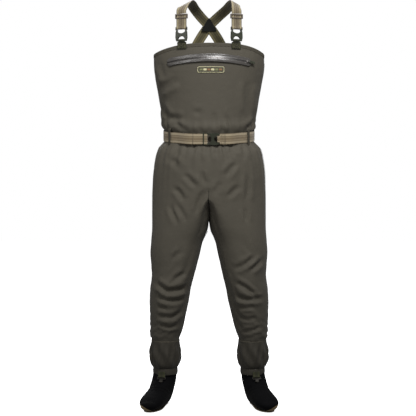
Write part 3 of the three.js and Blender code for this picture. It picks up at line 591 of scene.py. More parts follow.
def fold_field(cloth):
    """How far each vertex starts out from the plain shape, in millimetres."""
    p, n = cloth.verts, cloth.outward
    flat = p[:, [0, 2]]
    front = smooth(0.5 - n[:, 1] * 1.6)
    back = smooth(0.5 + n[:, 1] * 1.6)
    out = np.zeros(len(p))
    for line, depth, width in FOLDS:
        out += front * stroke(flat, line, depth, width)
    for line, depth, width in BACK_FOLDS:
        out += back * stroke(flat, line, depth, width)
    # gathers above and below the belt
    up = p[:, 2] - (BELT_CENTRE_Z + (p[:, 1] - BODY_Y) * math.tan(BELT_TILT))
    theta = np.arctan2(p[:, 1] - BODY_Y, p[:, 0])
    waves = np.zeros(len(p))
    for count, phase, share in ((19, 0.4, 1.0), (27, 2.1, 0.9), (34, 4.0, 0.8), (47, 1.2, 0.5)):
        waves += share * np.cos(count * theta + phase + 0.012 * up)
    near = np.where(up > 0, np.exp(-np.maximum(up - 20, 0) / 34), np.exp(-np.maximum(-up - 20, 0) / 52))
    open_zone = smooth((np.abs(up) - 17) / 14) * (p[:, 2] > 840)
    out += 1.9 * waves * near * open_zone
    out += 5.0 * np.exp(-((up - 40) / 20) ** 2) + 0.5 * np.exp(-((up + 42) / 22) ** 2)
    # puffed guards with slanting creases
    guard = (p[:, 2] < 232) & (p[:, 2] > CUFF_TOP_Z + 3)
    local = np.where(p[:, 0] > 0, p[:, 0] - ANKLE[0], p[:, 0] + ANKLE[0])
    phi = np.arctan2(p[:, 1] - GUARD_CENTRE_Y, local)
    puff = np.sin(np.pi * np.clip((p[:, 2] - CUFF_TOP_Z) / (GUARD_TOP_Z - CUFF_TOP_Z), 0, 1))
    creases = 0.5 + 1.8 * np.cos(9 * phi + 0.07 * p[:, 2]) + 1.4 * np.cos(16 * phi - 0.05 * p[:, 2] + 1)
    out += np.where(guard, puff * creases, 0)
    return out, up


def rest_positions(cloth, up):
    """The fabric's own shape: longer and wider than the body where it bunches up."""
    p = cloth.verts
    z = p[:, 2]
    heights = [140, 236, 300, 470, 620, 760, 900, 980, 1060, 1120, 1310]
    length = [1.10, 1.08, 1.075, 1.06, 1.035, 1.02, 1.02, 1.04, 1.03, 1.005, 1.0]
    fine = np.linspace(140, 1310, 400)
    grow = np.interp(fine, heights, length)
    table = np.concatenate([[0], np.cumsum((grow[1:] + grow[:-1]) / 2 * np.diff(fine))])
    rest = p.copy()
    rest[:, 2] = np.interp(z, fine, table)
    wide = np.interp(z, [140, 236, 300, 700, 790, 900, 1000, 1080, 1300],
                     [1.07, 1.04, 1.03, 1.02, 1.02, 1.02, 1.045, 1.015, 1.0])
    leg = z < CROTCH_Z - 1
    centre = np.where(leg, np.sign(p[:, 0]) * np.interp(z, [s[0] for s in LEG], [s[1] for s in LEG]), 0)
    rest[:, 0] = centre + (p[:, 0] - centre) * wide
    rest[:, 1] = BODY_Y + (p[:, 1] - BODY_Y) * wide
    return rest


FORM_INSET = 6.0


def body_form():
    """The wearer's shape inside, for the fabric to rest on."""
    cols = 40
    angles = [2 * math.pi * c / cols for c in range(cols)]

    def form(name, levels, point, flip=False):
        verts = [point(z, t) for z in levels for t in angles]
        return make_object(name, verts, grid_faces(len(levels), cols, True, flip))

    forms = [form("form_torso", np.linspace(788, 1240, 32), lambda z, t: torso_point(z, t, FORM_INSET))]
    for label, side in SIDES:
        def inside_leg(z, t, side=side):
            return leg_point(LEG if z > GUARD_TOP_Z else GUARD, side, z, t, FORM_INSET)

        forms.append(form(f"form_{label}", np.linspace(150, 784, 44), inside_leg, side < 0))
    return forms


def simulate(cloth, start, pins, rest, frames=34):
    """Runs the cloth, and returns where its vertices end, in millimetres."""
    ob = make_object("cloth_sim", start, cloth.faces)
    ob.shape_key_add(name="Basis")
    key = ob.shape_key_add(name="rest")
    key.data.foreach_set("co", (rest * MM).astype(np.float32).ravel())
    key.value = 0
    group = ob.vertex_groups.new(name="pin")
    for level in np.unique(np.round(pins[pins > 0], 2)):
        ids = np.nonzero(np.abs(pins - level) < 0.006)[0]
        group.add([int(i) for i in ids], float(level), "REPLACE")
    forms = body_form()
    for form in forms:
        form.modifiers.new("Collision", "COLLISION")
        form.collision.thickness_outer = 0.001
        form.collision.thickness_inner = 0.004
        form.collision.cloth_friction = 12
    mod = ob.modifiers.new("Cloth", "CLOTH")
    s = mod.settings
    s.quality = 6
    s.mass = 0.25
    s.tension_stiffness = s.compression_stiffness = 35
    s.shear_stiffness = 12
    s.bending_model = "ANGULAR"
    s.bending_stiffness = 2.2
    s.tension_damping = s.compression_damping = s.shear_damping = 8
    s.bending_damping = 1.0
    s.air_damping = 2.5
    s.vertex_group_mass = "pin"
    s.pin_stiffness = 1.0
    s.rest_shape_key = key
    mod.collision_settings.distance_min = 0.0015
    mod.collision_settings.collision_quality = 2
    mod.point_cache.frame_start = 1
    mod.point_cache.frame_end = frames
    for f in range(1, frames + 1):
        scene.frame_set(f)
    done = ob.evaluated_get(bpy.context.evaluated_depsgraph_get())
    out = np.empty(len(start) * 3, np.float32)
    done.data.vertices.foreach_get("co", out)
    for o in [ob, *forms]:
        bpy.data.objects.remove(o)
    scene.frame_set(1)
    return out.reshape(-1, 3).astype(float) / MM


def zone(x, a, b, soft):
    """1 between a and b, falling to 0 within soft of them."""
    return smooth((x - a) / soft + 1) * smooth((b - x) / soft + 1)


cloth = Cloth()
offset, above_belt = fold_field(cloth)
P = cloth.verts
front_face = cloth.outward[:, 1] < 0
top_gap = np.full(len(P), 1e3)
for c in range(cloth.torso.shape[1]):
    column = cloth.torso[:, c]
    top_gap[column] = P[column[-1], 2] - P[column, 2]
# pins: 1 holds a vertex where it starts, at the belt, the top hem, the pocket, the seams and between the legs
pins = np.maximum(smooth((26 - np.abs(above_belt)) / 8), smooth((14 - top_gap) / 10))
flat_zone = zone(np.abs(P[:, 0]), -1, 158, 14) * zone(P[:, 2], 1196, 1272, 14) * front_face
pins = np.maximum(pins, 0.6 * flat_zone)
for leg in cloth.legs.values():
    pins[leg[cloth.seam_row]] = 1
    pins[leg[-1]] = 1
meeting = (P[:, 2] > 665) & (P[:, 2] < CROTCH_Z) & (np.abs(P[:, 0]) < 8)
pins[meeting] = 1
pins = np.round(pins, 2)
# hold: how much of the drawn folds each vertex takes
hold = 1 - np.maximum(smooth((22 - np.abs(above_belt)) / 6), np.maximum(flat_zone, smooth((9 - top_gap) / 8)))
for leg in cloth.legs.values():
    hold[leg[-1]] = 0
out_dir = unit(cloth.outward)
drawn = out_dir * (offset * hold)[:, None]
start = P + drawn


def tidy_cloth(points):
    """Keeps the fabric near its CAD panels and off the hardware."""
    n = out_dir
    d = points - P
    normal = (d * n).sum(1)
    for rings in (cloth.torso, cloth.legs["left"][1:], cloth.legs["right"][1:]):
        drift = np.array([normal[ring].mean() for ring in rings])
        drift = np.convolve(np.pad(drift, 2, mode="edge"), np.ones(5) / 5, "valid")
        for ring, mean in zip(rings, drift):
            d[ring] -= n[ring] * mean * 0.85
    normal = (d * n).sum(1)
    low = np.where(hold > 0.5, -10.0, -1.0 - 9 * hold)
    before_pocket = (P[:, 2] > 1070) & (cloth.outward[:, 1] < -0.3)
    low = np.where(before_pocket, np.maximum(low, -2.0), low)
    high = np.where(hold > 0.5, 11.0, 0.4 + 10.6 * hold)
    d += n * (np.clip(normal, low, high) - normal)[:, None]
    side = d - n * (d * n).sum(1)[:, None]
    length = np.linalg.norm(side, axis=1)
    d -= side * (1 - np.minimum(1, 14 / np.maximum(length, 1e-9)))[:, None]
    out = P + d
    for label, s in SIDES:
        ids = cloth.legs[label][1:cloth.seam_row].ravel()
        out[ids, 0] = s * np.maximum(s * out[ids, 0], 1.0)
        meet = smooth((P[ids, 2] - 655) / 35) * (np.abs(P[ids, 0]) < 12)
        sway = 3.0 * np.sin(P[ids, 1] / 15 + P[ids, 2] / 31) * smooth((CROTCH_Z - 4 - P[ids, 2]) / 20)
        out[ids, 0] = out[ids, 0] * (1 - meet) + (sway + s * 0.35) * meet
    return out


shape = simulate(cloth, start, pins, rest_positions(cloth, above_belt))
shape = tidy_cloth(shape + 1.15 * drawn)

# ---------------------------------------------------------------- pieces
def finish_piece(ob, material, body="waders", nodes=()):
    ob.data.materials.append(material)
    if nodes:
        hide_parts(*nodes)
    if body:
        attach(ob, body)
    return ob


for name, parts, nodes in (
    ("bib_shell", ["bib"], ["bib_front_panel", "bib_back_panel"]),
    ("trouser_shell", ["seat", "leg_left", "leg_right"],
     ["seat_front_panel", "seat_back_panel", "crotch_gusset",
      "leg_front_left", "leg_back_left", "leg_front_right", "leg_back_right"]),
    ("guard_shell_left", ["guard_left"], ["gravel_guard_left"]),
    ("guard_shell_right", ["guard_right"], ["gravel_guard_right"]),
):
    guard = name.startswith("guard")
    ob = cloth.piece(name, shape, parts)
    ob.data.materials.append(MAT["guard" if guard else "shell"])
    modifier(ob, "SUBSURF", levels=1, render_levels=1)
    modifier(ob, "SOLIDIFY", thickness=1.2 * MM, offset=-1, material_offset=1)
    finish_piece(ob, MAT["lining"], nodes=nodes)


def resample(points, count):
    """Even steps along a Catmull-Rom curve through the points."""
    p = np.asarray(points, float)
    ext = np.vstack([2 * p[0] - p[1], p, 2 * p[-1] - p[-2]])
    fine = []
    for i in range(len(p) - 1):
        a, b, c, d = ext[i:i + 4]
        t = np.linspace(0, 1, 12, endpoint=False)[:, None]
        fine.append(0.5 * (2 * b + (c - a) * t + (2 * a - 5 * b + 4 * c - d) * t ** 2
                           + (3 * b - a - 3 * c + d) * t ** 3))
    fine = np.vstack([*fine, p[-1:]])
    s = run_lengths(fine[:, :3])
    at = np.linspace(0, s[-1], count)
    return np.stack([np.interp(at, s, fine[:, k]) for k in range(p.shape[1])], axis=1)


def strap(name, centres, normals, width, thickness, closed=False, lanes=9, edge=0.45):
    """A flat band: u runs across it from 0 to 1, v along it in metres. width may be one for each centre."""
    c = np.asarray(centres, float)
    n = unit(normals)
    width = np.broadcast_to(np.asarray(width, float), (len(c),))
    tangent = np.gradient(c, axis=0)
    if closed:
        tangent[0] = tangent[-1] = c[1] - c[-2]
    side = unit(np.cross(unit(tangent), n))
    n = unit(np.cross(side, unit(tangent)))
    s = np.linspace(-1, 1, lanes)
    half = thickness / 2 * (1 - (1 - edge) * np.abs(s) ** 8)
    ring = [(k, h) for k, h in zip(s, half)] + [(k, -h) for k, h in zip(s[::-1], half[::-1])]
    cols = len(ring)
    verts = [c[i] + side[i] * k * width[i] / 2 + n[i] * h for i in range(len(c)) for k, h in ring]
    along = run_lengths(c) * MM
    us = [(k + 1) / 2 for k, _ in ring]
    us.append(us[0])
    faces = grid_faces(len(c), cols, wrap=True)
    uvs = grid_uvs(len(c), cols, us, along, wrap=True)
    if not closed:
        last = (len(c) - 1) * cols
        faces += [tuple(range(cols))[::-1], tuple(last + k for k in range(cols))]
        uvs += [(us[k], along[0]) for k in range(cols)][::-1] + [(us[k], along[-1]) for k in range(cols)]
    ob = make_object(name, verts, faces, uvs)
    ob.data.set_sharp_from_angle(angle=math.radians(60))
    return ob


def place(matrix, points):
    m = np.array(matrix)
    return np.asarray(points, float) @ m[:3, :3].T + m[:3, 3]


def turn(matrix, vectors):
    return np.asarray(vectors, float) @ np.array(matrix)[:3, :3].T


def fold_back(matrix, y, z, end, way, flat, bore, layer):
    """Centres and normals of webbing folded round a bar and lying double, in the frame of matrix."""
    r = bore + layer / 2
    neck = z + way * (bore + layer + 5)
    a = np.radians(np.linspace(10, -190, 15))
    loop = [(0, y + r * math.cos(t), z + way * r * math.sin(t)) for t in a]
    lay = layer / 2 + 0.08
    pts = [(0, flat + lay, end), (0, flat + lay, (end + neck) / 2), (0, flat + lay, neck), *loop,
           (0, flat - lay, neck), (0, flat - lay, (end + neck) / 2), (0, flat - lay, end)]
    pts = resample(pts, 64)
    tangent = unit(np.gradient(pts, axis=0))
    normals = np.cross(tangent, np.tile([-way, 0, 0], (len(pts), 1)))
    return place(matrix, pts), turn(matrix, normals), pts


def rim(name, ids, height, thickness, lift, closed=True):
    """A band of fabric sewn along a line of the cloth's vertices."""
    if closed:
        ids = [*ids, ids[0]]
    pts = shape[ids] + out_dir[ids] * lift
    both = resample(np.hstack([pts, cloth.outward[ids]]), 2 * len(pts))
    ob = strap(name, both[:, :3], both[:, 3:], height, thickness, closed, lanes=7, edge=0.3)
    return finish_piece(ob, MAT["seam"])


# ---- more materials
def seam_material(name, code):
    """Sewn shell fabric: two rows of stitches, u across and v along."""
    base = rgb(code)
    m = Nodes(name, base, 0.8, specular=0.25)
    u, v, _ = m.split(m.coords("UV"))
    off = m.math("ABSOLUTE", m.math("SUBTRACT", m.math("ABSOLUTE", m.math("SUBTRACT", u, 0.5)), 0.27))
    row = m.math("LESS_THAN", off, 0.055)
    dash = m.math("GREATER_THAN", m.math("SINE", m.math("MULTIPLY", v, 2 * math.pi / 0.0032)), -0.35)
    stitch = m.math("MULTIPLY", row, dash)
    cloud = m.noise(m.coords("Object"), 40.0, 4.0)
    tone = m.mix(cloud, scaled(base, 0.8), scaled(base, 1.15))
    m.to("Base Color", m.mix(m.math("MULTIPLY", stitch, 0.7), tone, scaled(base, 1.7)))
    normal = m.bump(cloud, 0.0015, 0.5)
    m.to("Normal", m.bump(stitch, 0.0005, 0.8, normal))
    return m.mat


def neoprene_material():
    base = rgb("050506")
    m = Nodes("bootie_neoprene", base, 0.9, specular=0.07)
    local = m.coords("Object")
    knit = m.weave(m.coords("UV"), 0.0012)
    cloud = m.noise(local, 22.0, 4.0)
    dust = m.noise(local, 160.0, 3.0)
    tone = m.mix(cloud, scaled(base, 0.8), scaled(base, 1.9))
    tone = m.mix(m.math("MULTIPLY", m.math("GREATER_THAN", dust, 0.7), 0.15), tone, rgb("232220"))
    printed = m.add("ShaderNodeAttribute", attribute_name="print").outputs["Fac"]
    mask = m.math("MULTIPLY", m.math("ADD", m.math("MULTIPLY", printed, 0.9), 0.5), 1.0, clamp=True)
    tan = m.mix(m.noise(local, 120.0, 4.0), rgb("6a5c46"), rgb("8f8064"))
    m.to("Base Color", m.mix(mask, tone, tan))
    normal = m.bump(m.noise(local, 45.0, 3.0), 0.002, 0.35)
    normal = m.bump(mask, 0.0006, 0.8, normal)
    m.to("Normal", m.bump(knit, 0.00015, 0.5, normal))
    return m.mat


def sole_material():
    base = rgb("6b5f4b")
    m = Nodes("sole_rubber", base, 0.75, specular=0.3)
    local = m.coords("Object")
    x, y, _ = m.split(local)
    k = 2 * math.pi / 0.007
    tread = m.math("MULTIPLY", m.math("SINE", m.math("MULTIPLY", m.math("ADD", x, y), k)),
                   m.math("SINE", m.math("MULTIPLY", m.math("SUBTRACT", x, y), k)))
    cloud = m.noise(local, 60.0, 4.0)
    m.to("Base Color", m.mix(cloud, scaled(base, 0.7), scaled(base, 1.2)))
    m.to("Normal", m.bump(tread, 0.0008, 0.8))
    return m.mat


def metal_material(name, code, roughness=0.32):
    base = rgb(code)
    m = Nodes(name, base, roughness, metallic=0.9)
    local = m.coords("Object")
    cloud = m.noise(local, 90.0, 4.0)
    m.to("Base Color", m.mix(cloud, scaled(base, 0.75), scaled(base, 1.15)))
    m.to("Roughness", m.between(cloud, roughness - 0.08, roughness + 0.2))
    m.to("Normal", m.bump(m.noise(local, 700.0, 2.0), 0.0001, 0.5))
    return m.mat


def tape_material():
    """Shiny laminated zip tape."""
    base = rgb("413e3b")
    m = Nodes("zip_laminate", base, 0.3, specular=0.6)
    uv = m.coords("UV")
    local = m.coords("Object")
    cloud = m.noise(local, 30.0, 4.0)
    m.to("Base Color", m.mix(cloud, scaled(base, 0.75), scaled(base, 1.25)))
    m.to("Roughness", m.between(cloud, 0.22, 0.42))
    normal = m.bump(m.noise(local, 90.0, 3.0), 0.0012, 0.35)
    m.to("Normal", m.bump(m.weave(uv, 0.0009), 0.00012, 0.5, normal))
    m.bsdf.inputs["Coat Weight"].default_value = 0.25
    m.bsdf.inputs["Coat Roughness"].default_value = 0.25
    return m.mat


MAT.update({
    "seam": seam_material("sewn_seam", "433f36"),
    "neoprene": neoprene_material(),
    "sole": sole_material(),
    "metal": metal_material("zip_metal", "4e4c4b"),
    "steel": metal_material("hook_metal", "353330", 0.4),
    "tape": tape_material(),
    "thread": plastic_material("sewing_thread", "5f5848", 0.8),
    "slider": metal_material("slider_metal", "9a9693", 0.26),
    "patch": fabric_material("coated_patch", "121311", 0.6, 0.0011),
    "cream": plastic_material("badge_cream", "b9b48f", 0.6),
    "badge": plastic_material("badge_ground", "3c3a2c", 0.65),
    "rust": plastic_material("badge_rust", "7a5b3c", 0.6),
    "teal": plastic_material("badge_teal", "6d6f4c", 0.6),
})

# ---- seams on the shell
half_side = HALF_COLS // 2
inner_column = HALF_COLS + 1 + CROTCH_COLS // 2
rim("bib_top_hem", cloth.torso[-1], 13.0, 1.6, 0.9)
for label, side in SIDES:
    column = side * half_side % RING_COLS
    leg = cloth.legs[label]
    bib_side = cloth.torso[cloth.split_row + 6:-3, column][::-1]
    rim(f"bib_side_seam_{label}", bib_side, 5.0, 0.9, 0.35, closed=False)
    hip = cloth.torso[:cloth.split_row - 2, column][::-1]
    outer = np.concatenate([hip, leg[1:cloth.seam_row, half_side]])
    rim(f"leg_outer_seam_{label}", outer, 5.0, 0.9, 0.35, closed=False)
    rim(f"leg_inner_seam_{label}", leg[16:cloth.seam_row, inner_column], 4.5, 0.9, 0.3, closed=False)
    rim(f"guard_seam_{label}", leg[cloth.seam_row], 4.5, 0.9, 0.3)

# ---- guard cuffs: elastic hems with small gathers
for label, side in SIDES:
    cols, levels = 96, np.linspace(CUFF_BOTTOM_Z, CUFF_TOP_Z + 1.5, 9)
    verts = []
    for i, z in enumerate(levels):
        k = i / (len(levels) - 1)
        belly = 1.3 * math.sin(math.pi * k)
        for c in range(cols):
            a = 2 * math.pi * c / cols
            gather = 0.75 * math.cos(30 * a + 0.5 * math.sin(3 * a)) * math.sin(math.pi * (0.15 + 0.7 * k))
            out = belly + gather - 1.4
            verts.append((side * (ANKLE[0] + (CUFF_HALF[0] + out) * math.cos(a)),
                          ANKLE[1] - 1 + (CUFF_HALF[1] + out) * math.sin(a), z))
    us = [0.33 * c / cols for c in range(cols + 1)]
    ob = make_object(f"cuff_hem_{label}", verts, grid_faces(len(levels), cols, True, flip=side < 0),
                     grid_uvs(len(levels), cols, us, [z * MM for z in levels], True, flip=side < 0))
    modifier(ob, "SUBSURF", levels=1, render_levels=1)
    modifier(ob, "SOLIDIFY", thickness=2.2 * MM, offset=-1)
    finish_piece(ob, MAT["guard"], nodes=[f"guard_cuff_{label}"])


# ---- stitches
STITCH_PITCH = 3.4
CORNERS = ((-1, -1), (1, -1), (1, 1), (-1, 1))


def stitches(name, line, normals):
    """Small raised stitches along a line of points, in millimetres."""
    line = np.asarray(line, float)
    length = np.linalg.norm(np.diff(line, axis=0), axis=1).sum()
    both = resample(np.hstack([line, normals]), max(int(length / STITCH_PITCH), 2) + 1)
    verts, faces = [], []
    for a, b, n in zip(both[:-1, :3], both[1:, :3], unit(both[:-1, 3:])):
        step = (b - a) * 0.36
        side = unit(np.cross(step, n)) * 0.42
        mid = (a + b) / 2
        faces += box_faces(len(verts))
        for lift, grow in ((-0.25, 1.0), (0.32, 0.7)):
            verts += [mid + n * lift + grow * (i * step + j * side) for i, j in CORNERS]
    return finish_piece(make_object(name, verts, faces, smooth_shade=False), MAT["thread"])


def box_stitch(name, centre, along, across, normal, length, width, slot="webbing"):
    """A sewn rectangle with a cross inside it."""
    centre, along, across = np.asarray(centre, float), unit(along), unit(across)
    corner = [centre + along * length / 2 * i + across * width / 2 * j for i, j in CORNERS]
    for k, (i, j) in enumerate(((0, 1), (1, 2), (2, 3), (3, 0), (0, 2), (1, 3))):
        stitches(f"{name}_{k}", np.linspace(corner[i], corner[j], 6), np.tile(normal, (6, 1)))


# ---- booties
def sock_grid():
    """Rings from the ankle to the toe, and the toe's tip, in the foot's frame."""
    table = np.array([[*f, *b, w] for f, b, w in SOCK], float)
    table[0] = 0.75 * table[0] + 0.25 * table[1]
    rings = resample(table, 46)
    cols = 40
    grid = []
    for r, (fy, fz, by, bz, hw) in enumerate(rings):
        my, mz = (fy + by) / 2, (fz + bz) / 2
        reach = math.hypot(fy - by, fz - bz) / 2
        uy, uz = (fy - my) / reach, (fz - mz) / reach
        ring = []
        for c in range(cols):
            a = 2 * math.pi * c / cols
            crease = 1.5 * math.sin(r * 1.25 + 0.9 * math.cos(2 * a)) * math.exp(-((r - 18) / 9) ** 2)
            crease *= 0.35 + 0.65 * max(math.cos(a), 0)
            along = (reach + crease) * math.cos(a)
            z = max(mz + uz * along, SOLE_TOP_Z)
            taper = HEEL_TAPER * (0.5 - 0.5 * math.cos(a)) * float(smooth((CUFF_BOTTOM_Z - z) / 60))
            fullness = 1 - 0.25 * float(smooth((CUFF_BOTTOM_Z - z) / 30))
            across = math.copysign(abs(math.sin(a)) ** fullness, math.sin(a))
            ring.append(((hw * (1 - taper) + crease * 0.6) * across, my + uy * along, z))
        grid.append(ring)
    last = np.array(grid[-1])
    centre = last.mean(0)
    tip = np.array([0, *TOE_TIP], float)
    for k in (0.25, 0.45, 0.62, 0.78, 0.9):
        grow, shrink = math.sin(k * math.pi / 2), math.cos(k * math.pi / 2)
        ring = centre + (tip - centre) * grow + (last - centre) * shrink
        ring[:, 2] = np.maximum(ring[:, 2], SOLE_TOP_Z)
        grid.append([tuple(v) for v in ring])
    return np.array(grid), tip


def lean_out(points, side):
    """Points in the foot's frame, moved outwards below the cuff."""
    points = np.array(points, float)
    points[..., 0] += side * FOOT_LEAN * (1 - smooth(points[..., 2] / FOOT_LEAN_TOP_Z))
    return points


sock, toe_tip = sock_grid()
foot = {}
for label, side in SIDES:
    foot[label] = Matrix.Translation((side * ANKLE[0], ANKLE[1], 0)) @ Matrix.Rotation(side * TOE_OUT, 4, "Z")
    rows, cols = sock.shape[:2]
    local = np.vstack([sock.reshape(-1, 3), toe_tip[None]])
    verts = place(foot[label], lean_out(local, side))
    centre_line = sock.mean(1)
    along = run_lengths(centre_line) * MM
    us = [0.26 * c / cols for c in range(cols + 1)]
    faces = grid_faces(rows, cols, True)
    uvs = grid_uvs(rows, cols, us, along, True)
    tip_id = len(local) - 1
    for c in range(cols):
        faces.append(((rows - 1) * cols + c, (rows - 1) * cols + (c + 1) % cols, tip_id))
        uvs += [(us[c], along[-1]), (us[c + 1], along[-1]), (us[c], along[-1] + 0.004)]
    ob = make_object(f"bootie_skin_{label}", verts, faces, uvs)
    outer = smooth((local[:, 0] * side + 34) / 62) * smooth((-local[:, 1] - 135) / 40)
    shown = (3 + 24 * outer) - local[:, 2]
    ob.data.attributes.new("print", "FLOAT", "POINT").data.foreach_set("value", shown.astype(np.float32))
    modifier(ob, "SUBSURF", levels=1, render_levels=1)
    modifier(ob, "SOLIDIFY", thickness=3.2 * MM, offset=-1)
    finish_piece(ob, MAT["neoprene"], nodes=[f"bootie_{label}"])
    for tag, column in (("front", 0), ("inner", 13), ("outer", 27)):
        line = sock[4:-3, column]
        around = line - centre_line[4:-3]
        centres = place(foot[label], lean_out(line + unit(around) * 0.5, side))
        piece = strap(f"bootie_seam_{tag}_{label}", centres, turn(foot[label], around), 4.5, 1.0, lanes=5)
        finish_piece(piece, MAT["neoprene"])

# ---- hook tabs
HOOK_Y, HOOK_Z, HOOK_BORE = -61, 108, 1.7
TAB_END_Z, TAB_Y, TAB_LAYER = 127, -59.4, 1.1
for label in foot:
    c, n, _ = fold_back(foot[label], HOOK_Y, HOOK_Z, TAB_END_Z, 1, TAB_Y, HOOK_BORE, TAB_LAYER)
    tab = strap(f"lace_tab_{label}", c, n, 25, TAB_LAYER)
    finish_piece(tab, MAT["olive"], nodes=[f"hook_tab_{label}"])

# ---- braces
STITCH_AXES = [(0, 0, 1), (1, 0, 0), (0, -1, 0)]  # along, across and off the webbing in a buckle's frame
brace = {}
for label, side in SIDES:
    brace[label] = (Matrix.Translation((side * BRACE_X, BRACE_Y, BRACE_Z))
                    @ Matrix.Rotation(side * math.radians(18.5), 4, "Z"))
    c, n, local = fold_back(brace[label], 0, 2.3, -26, -1, 3.8, FOLD_BORE, 1.7)
    width = 23 + 11 * smooth((-1.5 - local[:, 2]) / 3)
    piece = strap(f"anchor_strap_{label}", c, n, width, 1.7)
    finish_piece(piece, MAT["olive"], nodes=[f"anchor_tab_{label}"])
    c, n, _ = fold_back(brace[label], 0, 46.2, 97, 1, 0, FOLD_BORE, FOLD_LAYER)
    piece = strap(f"front_webbing_{label}", c, n, WEBBING_WIDTH, FOLD_LAYER)
    finish_piece(piece, MAT["brace"], None, [f"front_strap_{label}"])
    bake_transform(piece)

    cross = side * 1.9  # one strap lies over the other
    hang = 13 if side > 0 else -5  # the straps stand out from the shoulders by different amounts
    path = [
        (side * BRACE_X, BRACE_Y, 1410.8), (side * BRACE_X, -97.95, 1423),
        (side * (91 + hang * 0.4), -84, 1440), (side * (80 + hang), -42, 1459),
        (side * (69 + hang), 12, 1462), (side * (55 + hang * 0.7), 62, 1450),
        (side * (31 + hang * 0.2), 97 + cross, 1428), (0, 114 + cross, 1397),
        (-side * 32, 127.5 + cross * 0.6, 1353), (-side * 58, 137, 1305), (-side * 76, 137.2, 1257),
        (-side * 88, 133.4, 1214),
    ]
    facing = [
        (side * 0.32, -0.95, 0), (side * 0.34, -0.94, 0.08), (side * 0.46, -0.78, 0.45),
        (side * 0.5, -0.3, 0.8), (side * 0.42, 0.25, 0.9), (side * 0.2, 0.75, 0.7), (0, 0.93, 0.42),
        (0, 0.93, 0.37), (0, 0.95, 0.3), (-side * 0.1, 0.99, 0.1), (-side * 0.22, 0.97, 0),
        (-side * 0.28, 0.96, 0),
    ]
    both = resample(np.hstack([path, facing]), 90)
    lanes = 9
    piece = strap(f"elastic_strap_{label}", both[:, :3], both[:, 3:], ELASTIC_WIDTH, 1.8, lanes=lanes)
    finish_piece(piece, MAT["brace"], nodes=[f"shoulder_strap_{label}"])
    piece.data.materials.append(MAT["shaded_inner_webbing"])
    for face in piece.data.polygons:  # painted shade: the inner face, towards the body, gets the darker copy of the webbing
        if face.index < (len(both) - 1) * 2 * lanes and face.index % (2 * lanes) >= lanes:
            face.material_index = 1
    end, before, normal = both[-8, :3], both[-12, :3], unit(both[-8, 3:])
    along = unit(end - before)
    box_stitch(f"back_stitch_{label}", end + normal * 1.0, along, np.cross(along, normal), normal, 30, 29)
    tab_centre = place(brace[label], [(0, 2.0, -14.5)])[0]
    box_stitch(f"tab_stitch_{label}", tab_centre, *turn(brace[label], STITCH_AXES), 14, 26, "olive_webbing")

# ---- belt
TILT = Matrix.Translation((0, BODY_Y, BELT_CENTRE_Z)) @ Matrix.Rotation(BELT_TILT, 4, "X")


def belt_point(theta, out, up):
    x = (BELT_HALF[0] + out) * math.cos(theta)
    y = (BELT_HALF[1] + out) * math.sin(theta)
    if y < 0:
        straight = -BELT_HALF[1] - BELT_BUCKLE_OUT - (out - BELT_OUT)
        ring = float(smooth((abs(x) - BELT_STRAIGHT) / 60))
        y = straight * (1 - ring) + y * ring
    return place(TILT, [(x, y, up)])[0]


end_angle = math.acos((BELT_STRAIGHT + 1) / (BELT_HALF[0] + BELT_OUT))
thetas = np.linspace(-end_angle, 2 * math.pi - (math.pi - end_angle), 150)
centres = [belt_point(t, BELT_OUT, 0.5 * math.sin(5 * t)) for t in thetas]
outward = [belt_point(t, BELT_OUT + 1, 0) - belt_point(t, BELT_OUT, 0) for t in thetas]
band = strap("belt_band", centres, outward, WEBBING_WIDTH, 1.8)
finish_piece(band, MAT["webbing"], nodes=["belt_webbing"])
belt_frame = (Matrix.Translation((BELT_BUCKLE_X, -105.486, 964.759))
              @ Matrix.Rotation(BELT_TILT, 4, "X") @ Matrix.Rotation(-math.pi / 2, 4, "Y"))
c, n, local = fold_back(belt_frame, 0, 2.3, -20.5, -1, 0, FOLD_BORE, 1.7)
width = 23 + 14.6 * smooth((-1.2 - local[:, 2]) / 2.5)
finish_piece(strap("belt_sewn_end", c, n, width, 1.7), MAT["webbing"], nodes=["belt_female_loop"])
c, n, _ = fold_back(belt_frame, 0, 46.2, 92.5, 1, 0, FOLD_BORE, FOLD_LAYER)
piece = strap("belt_adjuster", c, n, WEBBING_WIDTH, FOLD_LAYER)
finish_piece(piece, MAT["webbing"], None, ["belt_adjuster_strap"])
stitch_at = place(belt_frame, [(0, -1.9, -12.5)])[0]
box_stitch("belt_stitch", stitch_at, *turn(belt_frame, STITCH_AXES), 11, 30)
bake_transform(piece)

for label, degrees in (("front_right", -147), ("front_left", -33), ("back_left", 52), ("back_right", 128)):
    t = math.radians(degrees)
    profile = [(3.5, -33), (6.2, -29), (7.0, -20), (7.3, 0), (7.0, 20), (6.2, 29), (3.5, 33)]
    pts = resample([belt_point(t, o, u) for o, u in profile], 30)
    out = belt_point(t, 1, 0) - belt_point(t, 0, 0)
    keeper = strap(f"belt_keeper_{label}", pts, [out] * len(pts), 13, 1.8, lanes=7)
    finish_piece(keeper, MAT["seam"], nodes=[f"belt_loop_{label}"])

# ---- chest zip
ZIP_RADIUS, ZIP_HALF, ZIP_LEAN = 277.0, math.radians(32.5), math.radians(18.8)
ZIP_COLS, ZIP_LENGTH = 90, 0.315  # the tapes' columns, and their length in metres
zip_frame = Matrix.Translation((0, 149.622, 1163.732)) @ Matrix.Rotation(-ZIP_LEAN, 4, "X")


def zip_point(angle, beyond, z):
    r = ZIP_RADIUS + beyond
    return (r * math.sin(angle), -r * math.cos(angle), z)


